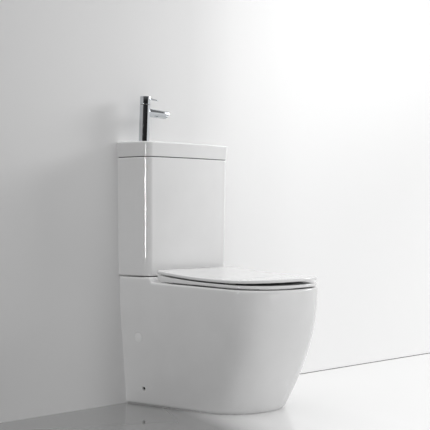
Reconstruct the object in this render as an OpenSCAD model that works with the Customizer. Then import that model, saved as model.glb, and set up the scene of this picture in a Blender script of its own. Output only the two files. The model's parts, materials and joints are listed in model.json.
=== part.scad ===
// Close-coupled toilet with a hand basin on the cistern.
// Millimetres. +Z is up, the front faces -Y and the wall side is +Y.
// "reach" below means a distance from the wall towards the front.

/* [Overall] */
// Depth from the wall to the front of the pan
depth = 560; // [560]
// Height of the ledge that carries the cistern
ledge_z = 398; // [396:0.5:399]
// Wall thickness of the ceramic pan
pan_wall = 13; // [11:1:15]

/* [Cistern] */
// Half width of the cistern at its foot
cistern_half_w = 187.5; // [186:0.5:189]
// How far each side leans out between foot and top
cistern_flare = 4.5; // [3:0.5:5]
// Depth of the cistern at the middle of its foot
cistern_depth = 134.5; // [132:0.5:135]
// How far its front leans out between foot and top
cistern_front_lean = 4.5; // [2:0.5:5]
// How far the front face is bowed
front_bow = 12; // [8:1:14]
// Corner radius of the cistern in plan
corner_r = 26; // [20:1:30]
// Height of the cistern's top edge
cistern_top_z = 766; // [764:1:770]
// Wall thickness of the cistern
cistern_wall = 10; // [9:1:12]

/* [Basin] */
// Depth of the basin at the middle of its foot
basin_depth = 140; // [138:0.5:141]
// How far the basin's sides lean out between foot and rim
basin_lean = 3.5; // [1:0.5:4]
// Height of the basin's rim at the wall
rim_back_z = 816.3; // [814:0.1:818]
// How much the rim falls from the wall to the front
rim_fall = 2.7; // [2:0.1:4]
// Depth of the hand basin's bowl below the rim
basin_bowl_depth = 52; // [46:1:54]

/* [Seat] */
// Height of the hinge axis
hinge_z = 400; // [400]
// Reach of the hinge axis
hinge_reach = 157; // [157]
// Distance between the two hinges
hinge_spacing = 155; // [150:1:160]
// Radius of the hinge pins
pin_r = 4; // [3.5:0.5:4]

/* [Tap] */
// Radius of the tap's column
tap_r = 16.5; // [15:0.5:17]
// Height of the tap's column up to the seam of its handle
tap_column_h = 121; // [112:1:124]
// Height of the handle cap
tap_cap_h = 26.5; // [24:0.5:28]
// How far the spout reaches from the tap's axis
spout_reach = 106; // [100:1:112]
// Radius of the spout
spout_r = 13; // [11:0.5:13]
// Lean of the tap, which stands square on the sloped deck
tap_lean = 2.6; // [2.6]

/* [Flush] */
// Travel of the flush buttons
button_travel = 5; // [4:0.5:5]
// Travel of the flush valve
valve_travel = 30; // [20:1:30]

/* [Hidden] */
$fn = 48;

eps = 0.01;
ceramic_colour = "#f4f4f2";
seat_colour = "#f6f6f5";
chrome_colour = "#c9ccd0";
brass_colour = "#c8a45a";
rubber_colour = "#2b2b2c";
plastic_colour = "#e4e6e8";
blue_colour = "#5b86b8";

// ---- Plan outlines and lofts -------------------------------------------------

function back_y() = depth / 2;
function at(reach) = back_y() - reach;

side_steps = 4;
front_steps = 11;

// Half outline of the pan as [x, reach], from the wall to the nose.
// s = [z, half width at the wall, half width at the shoulder, shoulder, nose, bluntness]
function pan_half(s, start, inset) = concat(
    [for (i = [0 : side_steps]) let (t = i / side_steps)
        [s[2] - inset - (s[2] - s[1]) * pow(1 - t, 2), start + (s[3] - start) * t]],
    [for (j = [1 : front_steps]) let (a = 90 * j / front_steps)
        [max(0, (s[2] - inset) * pow(max(0, cos(a)), 2 / s[5])),
         s[3] + (s[4] - inset - s[3]) * pow(sin(a), 2 / s[5])]]);

// Half outline of the cistern: side, rounded corner, bowed front.
corner_steps = 7;
bow_steps = 6;
function cistern_half(half_w, inset, depth_here) = let (
        w = half_w - inset, r = max(corner_r - inset, 4), d = depth_here - inset,
        xf = w - r, vf = d - front_bow * pow(xf / w, 2))
    concat(
        [[w, 0]],
        [for (i = [0 : corner_steps]) let (a = 90 * i / corner_steps)
            [xf + r * cos(a), vf - r * 0.93 + r * 0.93 * sin(a)]],
        [for (i = [1 : bow_steps]) let (x = xf * (1 - i / bow_steps))
            [x, d - front_bow * pow(x / w, 2)]]);

// Half outline of an oval bowl. b = [z, half width, near wall, near front]
oval_steps = 14;
function bowl_half(b, grow) = [for (i = [0 : oval_steps]) let (a = 180 * i / oval_steps)
    [max(0, (b[1] + grow) * sin(a)),
     (b[2] + b[3]) / 2 - ((b[3] - b[2]) / 2 + grow) * cos(a)]];

// A full ring of points mirrored from a half outline. Points on the centre line are kept once.
function whole(half) = concat(half,
    [for (i = [len(half) - 1 : -1 : 0]) if (half[i][0] > eps) [-half[i][0], half[i][1]]]);
function lift(ring, z) = [for (p = ring) [p[0], at(p[1]), z]];

// Skins a stack of rings that all hold the same number of points.
module loft(rings) {
    n = len(rings[0]);
    levels = len(rings);
    polyhedron(
        points = [for (ring = rings) for (p = ring) p],
        faces = concat(
            [[for (i = [n - 1 : -1 : 0]) i]],
            [[for (i = [0 : n - 1]) (levels - 1) * n + i]],
            [for (k = [0 : levels - 2]) for (i = [0 : n - 1]) let (j = (i + 1) % n)
                each [[k * n + j, (k + 1) * n + j, (k + 1) * n + i],
                      [k * n + j, (k + 1) * n + i, k * n + i]]]),
        convexity = 6);
}

// A slab whose top and bottom heights follow the reach. half lists [x, reach].
module wave_slab(half, low, high) {
    m = len(half);
    pts = concat(
        [for (p = half) [p[0], at(p[1]), low(p[1])]],
        [for (p = half) [-p[0], at(p[1]), low(p[1])]],
        [for (p = half) [p[0], at(p[1]), high(p[1])]],
        [for (p = half) [-p[0], at(p[1]), high(p[1])]]);
    polyhedron(points = pts, faces = concat(
        [for (i = [0 : m - 2]) each [[i, m + i, m + i + 1], [i, m + i + 1, i + 1]]],
        [for (i = [0 : m - 2]) each [[2 * m + i + 1, 3 * m + i + 1, 3 * m + i],
                                     [2 * m + i + 1, 3 * m + i, 2 * m + i]]],
        [for (i = [0 : m - 2]) each [[i + 1, 2 * m + i + 1, 2 * m + i], [i + 1, 2 * m + i, i]]],
        [for (i = [0 : m - 2]) each [[m + i, 3 * m + i, 3 * m + i + 1], [m + i, 3 * m + i + 1, m + i + 1]]],
        [[0, 2 * m, 3 * m], [0, 3 * m, m]],
        [[2 * m - 1, 4 * m - 1, 3 * m - 1], [2 * m - 1, 3 * m - 1, m - 1]]),
        convexity = 4);
}

module tube(r_out, r_in, h) {
    difference() {
        cylinder(r = r_out, h = h);
        translate([0, 0, -1]) cylinder(r = r_in, h = h + 2);
    }
}

module both_sides(x) {
    for (s = [-1, 1]) translate([s * x, 0, 0]) children();
}

// ---- Pan ----------------------------------------------------------------------

// The pan narrows and draws back towards the floor. Its sections are worked out at these heights.
pan_heights = [0, 30, 65, 105, 150, 200, 250, 300, 345, 400];
full_z = 345;
top_half_w = 187;
shoulder_reach = 438;
nose_bluntness = 2.25;
base_draw_w = 35;
base_draw_back_w = 32;
base_draw_shoulder = 106;
base_draw_nose = 104;
function draw(z) = pow(max(0, 1 - z / full_z), 1.65);
function draw_back(z) = pow(max(0, 1 - z / full_z), 1.2);
function draw_nose(z) = pow(max(0, 1 - z / full_z), 1.9);

// Section of the pan at height z: height, half width at the wall, half width at the shoulder,
// reach of the shoulder, reach of the nose, bluntness of the nose
function pan_section(z) = [z, top_half_w - base_draw_back_w * draw_back(z),
    top_half_w - base_draw_w * draw(z), shoulder_reach - base_draw_shoulder * draw(z),
    depth - base_draw_nose * draw_nose(z), nose_bluntness - 0.15 * draw(z)];

// Half width of the pan's side at a height and a reach behind the shoulder
function pan_side(z, reach) = let (s = pan_section(z),
        t = (reach - pan_back_gap) / (s[3] - pan_back_gap))
    s[2] - (s[2] - s[1]) * pow(1 - t, 2);
pan_back_gap = 4;

// Height of the sloping top under the seat
top_mid_z = 376;
top_slope = 0.0325;
function pan_top(reach) = top_mid_z - top_slope * (reach - 350);
step_reach = 134;
cavity_top_z = 352;

// Sections of the bowl: height, half width, rear reach, front reach
bowl_sections = [
    [72, 26, 262, 318], [112, 31, 256, 330], [150, 43, 250, 354], [190, 62, 240, 408],
    [230, 92, 228, 456], [280, 115, 219, 494], [330, 127, 214, 512], [366, 131, 212, 519],
    [402, 133, 210, 522]
];

// Trapway centre line as [reach, height]
trap_in_r = 36;
trap_out_r = 47;
trap_path = [[290, 108], [200, 214], [140, 180]];
outlet_z = 180;
outlet_reach = 14;
outlet_r = 51;
outlet_bore_r = 42;
outlet_len = 60;

coupling_reach = 68;
bolt_x = 75;
fill_x = 130;
fill_reach = 42;
side_cap_reach = 76;
side_cap_z = 211;
side_cap_r = 16;
fixing_reach = 83;
fixing_z = 52;
fixing_r = 6;

// Sweeps a round section along [reach, height] points in the middle plane, mitred at the bends
module sweep(path, r) {
    n = len(path);
    function way(i) = (path[i + 1] - path[i]) / norm(path[i + 1] - path[i]);
    function turn(i) = i == 0 ? way(0) : i == n - 1 ? way(n - 2)
        : (way(i - 1) + way(i)) / norm(way(i - 1) + way(i));
    loft([for (i = [0 : n - 1]) let (t = turn(i), k = r / (t * way(min(i, n - 2))))
        [for (j = [0 : 31]) let (a = 11.25 * (j + 0.5))
            [r * cos(a), at(path[i][0] + t[1] * k * sin(a)), path[i][1] - t[0] * k * sin(a)]]]);
}
// Trapway from a start on the outlet's axis to a point past the foot of the bowl
module trapway(r, start, past) {
    foot = trap_path[0];
    last = foot + past * (foot - trap_path[1]) / norm(foot - trap_path[1]);
    sweep([[start, outlet_z], trap_path[2], trap_path[1], last], r);
}
module back_tube(r, from_reach, to_reach) {
    translate([0, at(to_reach), outlet_z]) rotate([-90, 0, 0])
        cylinder(r = r, h = to_reach - from_reach);
}

module pan_outer() {
    loft([for (z = pan_heights) lift(whole(pan_half(pan_section(z), pan_back_gap, 0)), z)]);
}
module pan_cavity() {
    loft([for (z = [-1, 60, 130, 210, 290, cavity_top_z])
        lift(whole(pan_half(pan_section(max(z, 0)), -20, pan_wall)), z)]);
}
module bowl_solid(grow, sink, last) {
    loft([for (i = [0 : last]) let (b = bowl_sections[i])
        lift(whole(bowl_half(b, grow)), b[0] - (i == 0 ? sink : 0))]);
}
module pan_top_cut() {
    half = [[220, step_reach], [220, depth + 10]];
    low = function (reach) pan_top(reach);
    high = function (reach) 430;
    wave_slab(half, low, high);
}

// The whole casting apart from its outlet spigot
module pan_body() {
    difference() {
        union() {
            difference() {
                pan_outer();
                pan_cavity();
            }
            bowl_solid(pan_wall, pan_wall, 7);
            trapway(trap_out_r, outlet_reach + outlet_len - 2, 15);
            // flushing duct from the cistern to the back of the bowl
            translate([-46, at(226), 306]) cube([92, 204, 50]);
            // bosses behind the side fixing holes
            for (s = [-1, 1]) translate([s * 140, at(fixing_reach), fixing_z])
                rotate([0, s * 90, 0]) cylinder(r = 16, h = 16);
        }
        pan_top_cut();
        translate([-250, at(step_reach), ledge_z]) cube([500, 200, 40]);
        bowl_solid(0, 0, 8);
        trapway(trap_in_r, outlet_reach + 30, 4);
        // flushing inlet: seat for the coupling gasket, bore and duct
        translate([0, at(coupling_reach), ledge_z - 28]) cylinder(r = 50, h = 60);
        translate([0, at(coupling_reach), 322]) cylinder(r = 34, h = 80);
        translate([-34, at(236), 318]) cube([68, 190, 26]);
        // bolt holes and the way through for the fill valve's tail
        both_sides(bolt_x) translate([0, at(coupling_reach), 300]) cylinder(r = 6.5, h = 140);
        translate([fill_x, at(fill_reach), 300]) cylinder(r = 22, h = 140);
        both_sides(hinge_spacing / 2) translate([0, at(hinge_reach), 300]) cylinder(r = 6, h = 120);
        // side caps and side fixings
        for (s = [-1, 1]) {
            translate([s * 140, at(side_cap_reach), side_cap_z]) rotate([0, s * 90, 0])
                cylinder(r = side_cap_r - 1.5, h = 60);
            translate([s * 120, at(fixing_reach), fixing_z]) rotate([0, s * 90, 0]) {
                cylinder(r = 3, h = 60);
                translate([0, 0, screw_seat - 120]) cylinder(r = fixing_r, h = 30);
            }
        }
    }
}
module pan() {
    spigot_end = outlet_reach + outlet_len;
    color(ceramic_colour) {
        // taken as one mesh, so that the spigot joins it as a true cylinder
        resize([0, 0, 0]) pan_body();
        difference() {
            back_tube(outlet_r, outlet_reach, spigot_end);
            back_tube(outlet_bore_r, outlet_reach - 1, spigot_end - 4);
            back_tube(trap_in_r - 1, spigot_end - 5, spigot_end + 1);
        }
    }
}

module side_caps() {
    face = pan_side(side_cap_z, side_cap_reach);
    slope = atan((pan_side(side_cap_z + 10, side_cap_reach) - pan_side(side_cap_z - 10, side_cap_reach)) / 20);
    color(seat_colour) for (s = [-1, 1])
        translate([s * face, at(side_cap_reach), side_cap_z]) rotate([0, s * (90 + slope), 0]) {
            cylinder(r = side_cap_r, h = 1);
            translate([0, 0, -15]) cylinder(r = side_cap_r - 2.5, h = 15.5);
        }
}

// ---- Fixings to the floor ----------------------------------------------------------

bracket_t = 4;
bracket_face = 140;
screw_seat = 150;
module floor_brackets() {
    color(plastic_colour) for (m = [0, 1]) mirror([m, 0, 0]) translate([0, at(fixing_reach), 0]) difference() {
        union() {
            translate([bracket_face - 42, -22, 0]) cube([40, 44, bracket_t]);
            translate([bracket_face - 8, -18, 0]) cube([8, 36, fixing_z + 14]);
            for (e = [-18, 14]) translate([bracket_face - 30, e, 0]) cube([24, 4, 28]);
        }
        translate([bracket_face - 26, 0, -1]) cylinder(r = 4.5, h = bracket_t + 2);
        translate([bracket_face - 20, 0, fixing_z]) rotate([0, 90, 0]) cylinder(r = 2.5, h = 30);
    }
}
module bracket_screws() {
    color(chrome_colour) for (m = [0, 1]) mirror([m, 0, 0])
        translate([screw_seat, at(fixing_reach), fixing_z]) rotate([0, 90, 0]) {
            translate([0, 0, -20]) cylinder(r = 2.5, h = 21);
            difference() {
                cylinder(r = 5.2, h = 3.5);
                translate([-4, -0.7, 2]) cube([8, 1.4, 3]);
                translate([-0.7, -4, 2]) cube([1.4, 8, 3]);
            }
        }
}

// ---- Cistern -----------------------------------------------------------------------

cistern_foot_z = 401;
cistern_floor = 14;
floor_top = cistern_foot_z + cistern_floor;
hose_notch_x = -118;

module cistern_shell(inset, z0, z1) {
    function share(z) = (z - cistern_foot_z) / (cistern_top_z - cistern_foot_z);
    function ring(z) = lift(whole([for (p = cistern_half(cistern_half_w + cistern_flare * share(z),
            inset, cistern_depth + cistern_front_lean * share(z)))
        [p[0], max(p[1], inset)]]), z);
    loft([ring(z0), ring(z1)]);
}

module cistern() {
    color(ceramic_colour) difference() {
        cistern_shell(0, cistern_foot_z, cistern_top_z);
        cistern_shell(cistern_wall, floor_top, cistern_top_z + 1);
        translate([0, at(coupling_reach), cistern_foot_z - 1]) cylinder(r = 33, h = 30);
        both_sides(bolt_x) translate([0, at(coupling_reach), cistern_foot_z - 1])
            cylinder(r = 6, h = 30);
        translate([fill_x, at(fill_reach), cistern_foot_z - 1]) cylinder(r = 12, h = 30);
        // notch for the tap's hoses in the top of the back wall
        translate([hose_notch_x - 30, at(cistern_wall + 1), cistern_top_z - 30])
            cube([60, cistern_wall + 2, 40]);
    }
}

module cistern_pads() {
    color(rubber_colour) for (s = [-1, 1]) for (reach = [16, 104])
        translate([s * 110 - 12, at(reach) - 8, ledge_z])
            cube([24, 16, cistern_foot_z - ledge_z]);
}

bolt_tip_z = 338;
washer_h = 3.5;
module cistern_bolts() {
    color(brass_colour) both_sides(bolt_x) translate([0, at(coupling_reach), 0]) {
        translate([0, 0, bolt_tip_z]) cylinder(r = 4, h = floor_top + washer_h - bolt_tip_z + 1);
        translate([0, 0, floor_top + washer_h]) cylinder(r = 9, h = 4, $fn = 6);
    }
}
module cistern_bolt_washers() {
    color(rubber_colour) both_sides(bolt_x) translate([0, at(coupling_reach), floor_top])
        tube(12, 4.05, washer_h);
}
wing_top_z = cavity_top_z;
module cistern_wing_nuts() {
    color(brass_colour) both_sides(bolt_x) translate([0, at(coupling_reach), wing_top_z - 10])
        difference() {
            union() {
                cylinder(r = 8, h = 8);
                translate([0, 0, 8]) cylinder(r = 12, h = 2);
                for (a = [0, 180]) rotate([0, 0, a + 90]) translate([6, -2, 0]) cube([12, 4, 8]);
            }
            translate([0, 0, -1]) cylinder(r = 4.05, h = 14);
        }
}

// ---- Basin ---------------------------------------------------------------------------

basin_foot_z = cistern_top_z + 2;
basin_half_w = cistern_half_w + cistern_flare - 0.5;
basin_bowl_reach = 68;
basin_bowl_x = 42;
tap_x = -121;
tap_reach = 45;
deck_z = 812;
deck_t = 14;
deck_rim_w = 9.5;
button_x = -150;
button_reach = 90;
waste_x = 42;
waste_hole_r = 20;

function rim_z(reach) = rim_back_z - rim_fall * reach / basin_depth;

// Sections of the hand basin's bowl: depth below the rim, half length, half width
hand_bowl = [[52, 74, 27], [50, 88, 32], [43, 103, 38], [26, 117, 43], [8, 124, 46], [-8, 129, 49]];
function hand_ring(b, grow) = [for (i = [0 : 35]) let (a = -360 * i / 36)
    [basin_bowl_x + (b[1] + grow) * sign(cos(a)) * pow(abs(cos(a)), 0.75),
     at(basin_bowl_reach) + (b[2] + grow) * sign(sin(a)) * pow(abs(sin(a)), 0.75)]];
module hand_bowl_solid(grow, sink, last) {
    loft([for (i = [0 : last]) let (b = hand_bowl[i])
        [for (p = hand_ring(b, grow)) [p[0], p[1], rim_back_z - b[0] - (i == 0 ? sink : 0)]]]);
}

// The basin's outer block: foot, leaning side, rounded top edge, as [share of height, inset]
module basin_block() {
    edge = [[0, basin_lean + 1], [0.03, basin_lean], [0.9, 0], [0.965, 1.5], [1, 5]];
    function basin_ring(t, inset) = [for (p = whole(cistern_half(basin_half_w + basin_lean, inset,
            basin_depth + basin_lean)))
        [p[0], at(p[1]), basin_foot_z + (rim_z(p[1]) - basin_foot_z) * t]];
    loft([for (e = edge) basin_ring(e[0], e[1])]);
}

module deck_holes() {
    translate([tap_x, at(tap_reach), deck_z - 60]) rotate([0, tap_lean, 0])
        cylinder(r = 17, h = 120);
    translate([button_x, at(button_reach), deck_z - 60]) cylinder(r = 17, h = 120);
    translate([waste_x, at(basin_bowl_reach), rim_back_z - basin_bowl_depth - 40])
        cylinder(r = waste_hole_r, h = 80);
}

module basin() {
    color(ceramic_colour) difference() {
        union() {
            difference() {
                basin_block();
                // hollow underside
                cistern_shell(16, basin_foot_z - 5, deck_z - deck_t);
            }
            // bowl wall
            hand_bowl_solid(9, 9, 4);
            // locating rib inside the cistern's mouth
            difference() {
                cistern_shell(cistern_wall + 2, basin_foot_z - 10, basin_foot_z + 12);
                cistern_shell(cistern_wall + 9, basin_foot_z - 11, basin_foot_z + 13);
            }
        }
        hand_bowl_solid(0, 0, 5);
        deck_holes();
        // sunken deck, and seats for the tap square to its lean
        cistern_shell(deck_rim_w, deck_z, deck_z + 20);
        translate([tap_x, at(tap_reach), deck_z]) rotate([0, tap_lean, 0]) {
            cylinder(r = 26, h = 20);
            translate([0, 0, -deck_t - 20]) cylinder(r = 27, h = 20);
        }
        translate([hose_notch_x - 30, at(cistern_wall + 12), basin_foot_z - 12])
            cube([60, cistern_wall + 10, 10.5]);
    }
}

module basin_seal() {
    color(rubber_colour) difference() {
        cistern_shell(2.5, cistern_top_z, basin_foot_z);
        cistern_shell(7.5, cistern_top_z - 1, basin_foot_z + 1);
        translate([hose_notch_x - 30, at(cistern_wall + 1), cistern_top_z - 30])
            cube([60, cistern_wall + 2, 60]);
    }
}

// ---- Basin waste -------------------------------------------------------------------

waste_z = rim_back_z - basin_bowl_depth;
waste_floor_t = 9;
module at_waste() {
    translate([waste_x, at(basin_bowl_reach), waste_z]) children();
}
module waste_grid() {
    slots = 6;
    color(chrome_colour) at_waste() difference() {
        union() {
            cylinder(r = 24, h = 2);
            translate([0, 0, -34]) cylinder(r = 19.5, h = 35);
        }
        translate([0, 0, -35]) cylinder(r = 16.5, h = 34);
        for (i = [0 : slots - 1]) rotate([0, 0, i * 360 / slots])
            translate([5, -1.8, -5]) cube([9, 3.6, 10]);
        translate([0, 0, -5]) cylinder(r = 2.6, h = 10);
    }
}
module waste_gasket() {
    color(rubber_colour) at_waste() translate([0, 0, -waste_floor_t - 3])
        tube(26, 19.55, 3);
}
module waste_backnut() {
    color(plastic_colour) at_waste() translate([0, 0, -waste_floor_t - 13]) difference() {
        cylinder(r = 27, h = 10, $fn = 8);
        translate([0, 0, -1]) cylinder(r = 19.55, h = 12);
    }
}
module waste_tailpipe() {
    color(plastic_colour) at_waste() translate([0, 0, -66]) difference() {
        union() {
            cylinder(r = 16, h = 40);
            translate([0, 0, 26]) cylinder(r = 24, h = 14, $fn = 10);
        }
        translate([0, 0, -1]) cylinder(r = 13.5, h = 60);
        translate([0, 0, 31.9]) cylinder(r = 19.55, h = 20);
    }
}

// ---- Tap -----------------------------------------------------------------------------

base_ring_h = 5;
seam_gap = 0.8;
module at_tap() {
    translate([tap_x, at(tap_reach), deck_z]) rotate([0, tap_lean, 0]) children();
}
body_top = tap_column_h;
bore_r = tap_r - 2.5;
spout_height = 99;
cartridge_floor = 82;
spout_cut = 33;

module tap_base_ring() {
    color(chrome_colour) at_tap() difference() {
        union() {
            cylinder(r = 22, h = base_ring_h - 1.5);
            translate([0, 0, base_ring_h - 1.5]) cylinder(r1 = 22, r2 = 20.5, h = 1.5);
        }
        translate([0, 0, -1]) cylinder(r = 13.05, h = 10);
    }
}
module tap_body() {
    color(chrome_colour) at_tap() difference() {
        translate([0, 0, base_ring_h]) cylinder(r = tap_r, h = body_top - base_ring_h);
        translate([0, 0, cartridge_floor]) cylinder(r = bore_r, h = 60);
        translate([0, 0, base_ring_h - 1]) cylinder(r = 11.05, h = 20);
        translate([0, 0, 20]) cylinder(r = 4, h = cartridge_floor);
        for (s = [-1, 1]) translate([0, s * 6, 10]) cylinder(r = 2.5, h = cartridge_floor);
        translate([0, 0, spout_height]) rotate([0, 90, 0]) cylinder(r = 6, h = 40);
    }
}
module tap_spout() {
    root = 6;
    color(chrome_colour) at_tap() difference() {
        translate([root, 0, spout_height]) rotate([0, 90, 0]) cylinder(r = spout_r, h = spout_reach - root);
        cylinder(r = tap_r + 0.05, h = 200);
        translate([0, 0, spout_height]) rotate([0, 90, 0]) cylinder(r = 7, h = spout_reach - 28);
        translate([0, 0, spout_height]) rotate([0, 90, 0]) cylinder(r = 3, h = spout_reach - 13);
        // slanted end, longest at the top
        at_spout_end() translate([-60, -20, 0]) cube([120, 40, 40]);
        at_spout_end() translate([0, 0, -7]) cylinder(r = 8.05, h = 12);
    }
}
// Middle of the slanted face, with Z pointing out of the spout
module at_spout_end() {
    translate([spout_reach - spout_r * tan(spout_cut), 0, spout_height]) rotate([0, 90 + spout_cut, 0])
        children();
}
module tap_aerator() {
    color(rubber_colour) at_tap() at_spout_end() translate([0, 0, -7]) difference() {
        cylinder(r = 8, h = 8);
        for (i = [0 : 5]) rotate([0, 0, i * 60]) translate([4.6, 0, -1]) cylinder(r = 1.1, h = 20);
        translate([0, 0, -1]) cylinder(r = 1.4, h = 20);
    }
}
module tap_cartridge() {
    color(plastic_colour) at_tap() difference() {
        translate([0, 0, cartridge_floor]) cylinder(r = bore_r - 0.05, h = 28);
        translate([0, 0, cartridge_floor + 12]) cylinder(r = 7.06, h = 30);
    }
}
module tap_cartridge_nut() {
    color(brass_colour) at_tap() difference() {
        translate([0, 0, cartridge_floor + 28]) cylinder(r = bore_r - 0.05, h = body_top - cartridge_floor - 28);
        translate([0, 0, cartridge_floor + 10]) cylinder(r = 10.5, h = 60);
    }
}
// The cap turns with the stem. The lever rocks on a cross pin in a slot of the cap.
pivot_h = body_top + 16;
rocker_w = 12;
module tap_stem() {
    color(brass_colour) at_tap() {
        translate([0, 0, cartridge_floor + 13]) cylinder(r = 7, h = 12);
        translate([0, 0, cartridge_floor + 25]) cylinder(r = 5, h = body_top - cartridge_floor - 19);
        translate([0, 0, body_top + 4]) cylinder(r = 10, h = 1.2);
        translate([0, 0, body_top + 4]) cylinder(r = 9, h = 4);
    }
}
module tap_handle() {
    color(chrome_colour) at_tap() {
        difference() {
            translate([0, 0, body_top + seam_gap]) cylinder(r = tap_r, h = tap_cap_h - seam_gap);
            translate([0, 0, body_top - 1]) cylinder(r = 13, h = 7);
            translate([0, 0, body_top + 8]) cylinder(r = 13, h = tap_cap_h - 10.5);
            translate([0, 0, body_top + 5]) cylinder(r = 9.05, h = 4);
            // slot in which the lever rocks
            translate([-9, -rocker_w / 2 - 0.6, body_top + 10]) cube([40, rocker_w + 1.2, 30]);
            translate([-tap_r - 2, 0, body_top + 7]) rotate([0, 90, 0]) cylinder(r = 1.6, h = 10.5);
        }
        translate([0, -13.5, pivot_h]) rotate([-90, 0, 0]) cylinder(r = 2, h = 27);
    }
}
module tap_lever() {
    root_h = pivot_h + 6;
    tip_drop = 3.5;
    color(chrome_colour) at_tap() difference() {
        union() {
            translate([0, -rocker_w / 2, pivot_h]) rotate([-90, 0, 0]) cylinder(r = 5, h = rocker_w);
            translate([-4, -rocker_w / 2, pivot_h]) cube([20, rocker_w, body_top + tap_cap_h - pivot_h - 0.4]);
            hull() {
                translate([12, -rocker_w / 2, root_h - 3]) cube([1, rocker_w, 6]);
                translate([54, 0, root_h - tip_drop]) cylinder(r = 5, h = 3);
            }
        }
        translate([0, -20, pivot_h]) rotate([-90, 0, 0]) cylinder(r = 2.05, h = 40);
    }
}
module tap_handle_screw() {
    color(brass_colour) at_tap() translate([-tap_r + 0.6, 0, body_top + 7]) rotate([0, 90, 0])
        cylinder(r = 1.55, h = 6.7);
}
module tap_shank() {
    color(brass_colour) at_tap() difference() {
        union() {
            translate([0, 0, -52]) cylinder(r = 13, h = 52 + base_ring_h);
            cylinder(r = 11, h = 16);
        }
        for (s = [-1, 1]) translate([0, s * 6, -60]) cylinder(r = 4.05, h = 40);
        for (s = [-1, 1]) translate([0, s * 6, -30]) cylinder(r = 2.5, h = 60);
    }
}
module tap_gasket() {
    color(rubber_colour) at_tap() translate([0, 0, -deck_t - 3]) tube(24, 13.05, 3);
}
module tap_clamp_plate() {
    color(chrome_colour) at_tap() translate([0, 0, -deck_t - 5]) tube(23, 13.05, 2);
}
module tap_nut() {
    color(brass_colour) at_tap() translate([0, 0, -deck_t - 15]) difference() {
        cylinder(r = 20, h = 10, $fn = 6);
        translate([0, 0, -1]) cylinder(r = 13.05, h = 12);
    }
}
module tap_tails() {
    color(chrome_colour) at_tap() for (s = [-1, 1]) translate([0, s * 6, -58]) difference() {
        cylinder(r = 4, h = 24);
        translate([0, 0, -1]) cylinder(r = 2.2, h = 26);
    }
}

// ---- Flush button --------------------------------------------------------------------

module at_button() {
    translate([button_x, at(button_reach), deck_z]) children();
}
module button_housing() {
    color(chrome_colour) at_button() difference() {
        union() {
            cylinder(r = 21, h = 3);
            translate([0, 0, -46]) cylinder(r = 16.5, h = 47);
        }
        translate([0, 0, -13.5]) cylinder(r = 14.4, h = 25);
        translate([0, 0, -34]) cylinder(r = 13, h = 40);
        for (s = [-1, 1]) translate([0, s * 7, -50]) cylinder(r = 2.6, h = 30);
    }
}
// One button of the pair: side is the way its plunger lies, split is its straight edge
module button(side, split) {
    at_button() {
        difference() {
            translate([0, 0, -7]) cylinder(r = 14.3, h = 11);
            translate([-20, side > 0 ? split - 30 : split, -10]) cube([40, 30, 20]);
        }
        translate([0, side * 7, -18]) cylinder(r = 3, h = 12);
    }
}
button_split = -3;
module button_full() {
    color(chrome_colour) button(1, button_split + 0.4);
}
module button_half() {
    color(chrome_colour) button(-1, button_split - 0.4);
}
module button_spring(side) {
    at_button() translate([0, side * 7, -34]) tube(5, 3.4, 26.9);
}
module full_spring() {
    color(chrome_colour) button_spring(1);
}
module half_spring() {
    color(chrome_colour) button_spring(-1);
}
module button_nut() {
    color(plastic_colour) at_button() translate([0, 0, -23]) difference() {
        cylinder(r = 22, h = 9, $fn = 8);
        translate([0, 0, -1]) cylinder(r = 16.55, h = 12);
    }
}

// Two sheathed cables from the buttons to the flush valve
cable_r = 2.5;
cable_bend = 30;
cable_low_z = 690;
actuator_x = -22;
module cable(side) {
    x1 = actuator_x + side * 4;
    low = cable_low_z - side * 5;
    y_button = at(button_reach) + side * 7;
    top = deck_z - 46;
    translate([button_x, y_button, low + cable_bend]) cylinder(r = cable_r, h = top - low - cable_bend);
    translate([button_x + cable_bend, y_button, low + cable_bend]) rotate([90, 0, 0])
        rotate([0, 0, 180]) rotate_extrude(angle = 90) translate([cable_bend, 0]) circle(r = cable_r);
    translate([button_x + cable_bend, y_button, low]) rotate([0, 90, 0])
        cylinder(r = cable_r, h = x1 - cable_bend - button_x - cable_bend);
    translate([x1 - cable_bend, y_button, low - cable_bend]) rotate([90, 0, 0])
        rotate_extrude(angle = 90) translate([cable_bend, 0]) circle(r = cable_r);
    translate([x1, y_button, valve_head_z]) cylinder(r = cable_r, h = low - cable_bend - valve_head_z);
}
module flush_cables() {
    color(rubber_colour) for (s = [-1, 1]) cable(s);
}

// ---- Flush valve ---------------------------------------------------------------------

valve_head_z = 606;
overflow_r = 16.5;
guide_r = overflow_r + 0.08;
module at_valve() {
    translate([0, at(coupling_reach), floor_top]) children();
}
module flush_valve_body() {
    cage_h = 90;
    head_h = valve_head_z - floor_top - cage_h;
    color(plastic_colour) at_valve() {
        difference() {
            union() {
                cylinder(r = 44, h = 5);
                translate([0, 0, -40]) cylinder(r = 31, h = 42);
                translate([0, 0, 5]) cylinder(r = 31, h = 3);
            }
            translate([0, 0, -41]) cylinder(r = 27, h = 60);
        }
        // legs of the cage
        for (a = [60, 180, 300]) rotate([0, 0, a]) translate([36, -5, 4]) cube([6, 10, cage_h]);
        translate([0, 0, cage_h]) tube(42, guide_r, 5);
        // head that guides the overflow tube and carries the cable ends
        translate([0, 0, cage_h]) tube(22, guide_r, head_h - 6);
        translate([0, 0, cage_h + head_h - 10]) difference() {
            union() {
                cylinder(r = 24, h = 10);
                translate([-34, -36, 0]) cube([28, 34, 10]);
            }
            translate([0, 0, -1]) cylinder(r = guide_r, h = 20);
        }
    }
}
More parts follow.
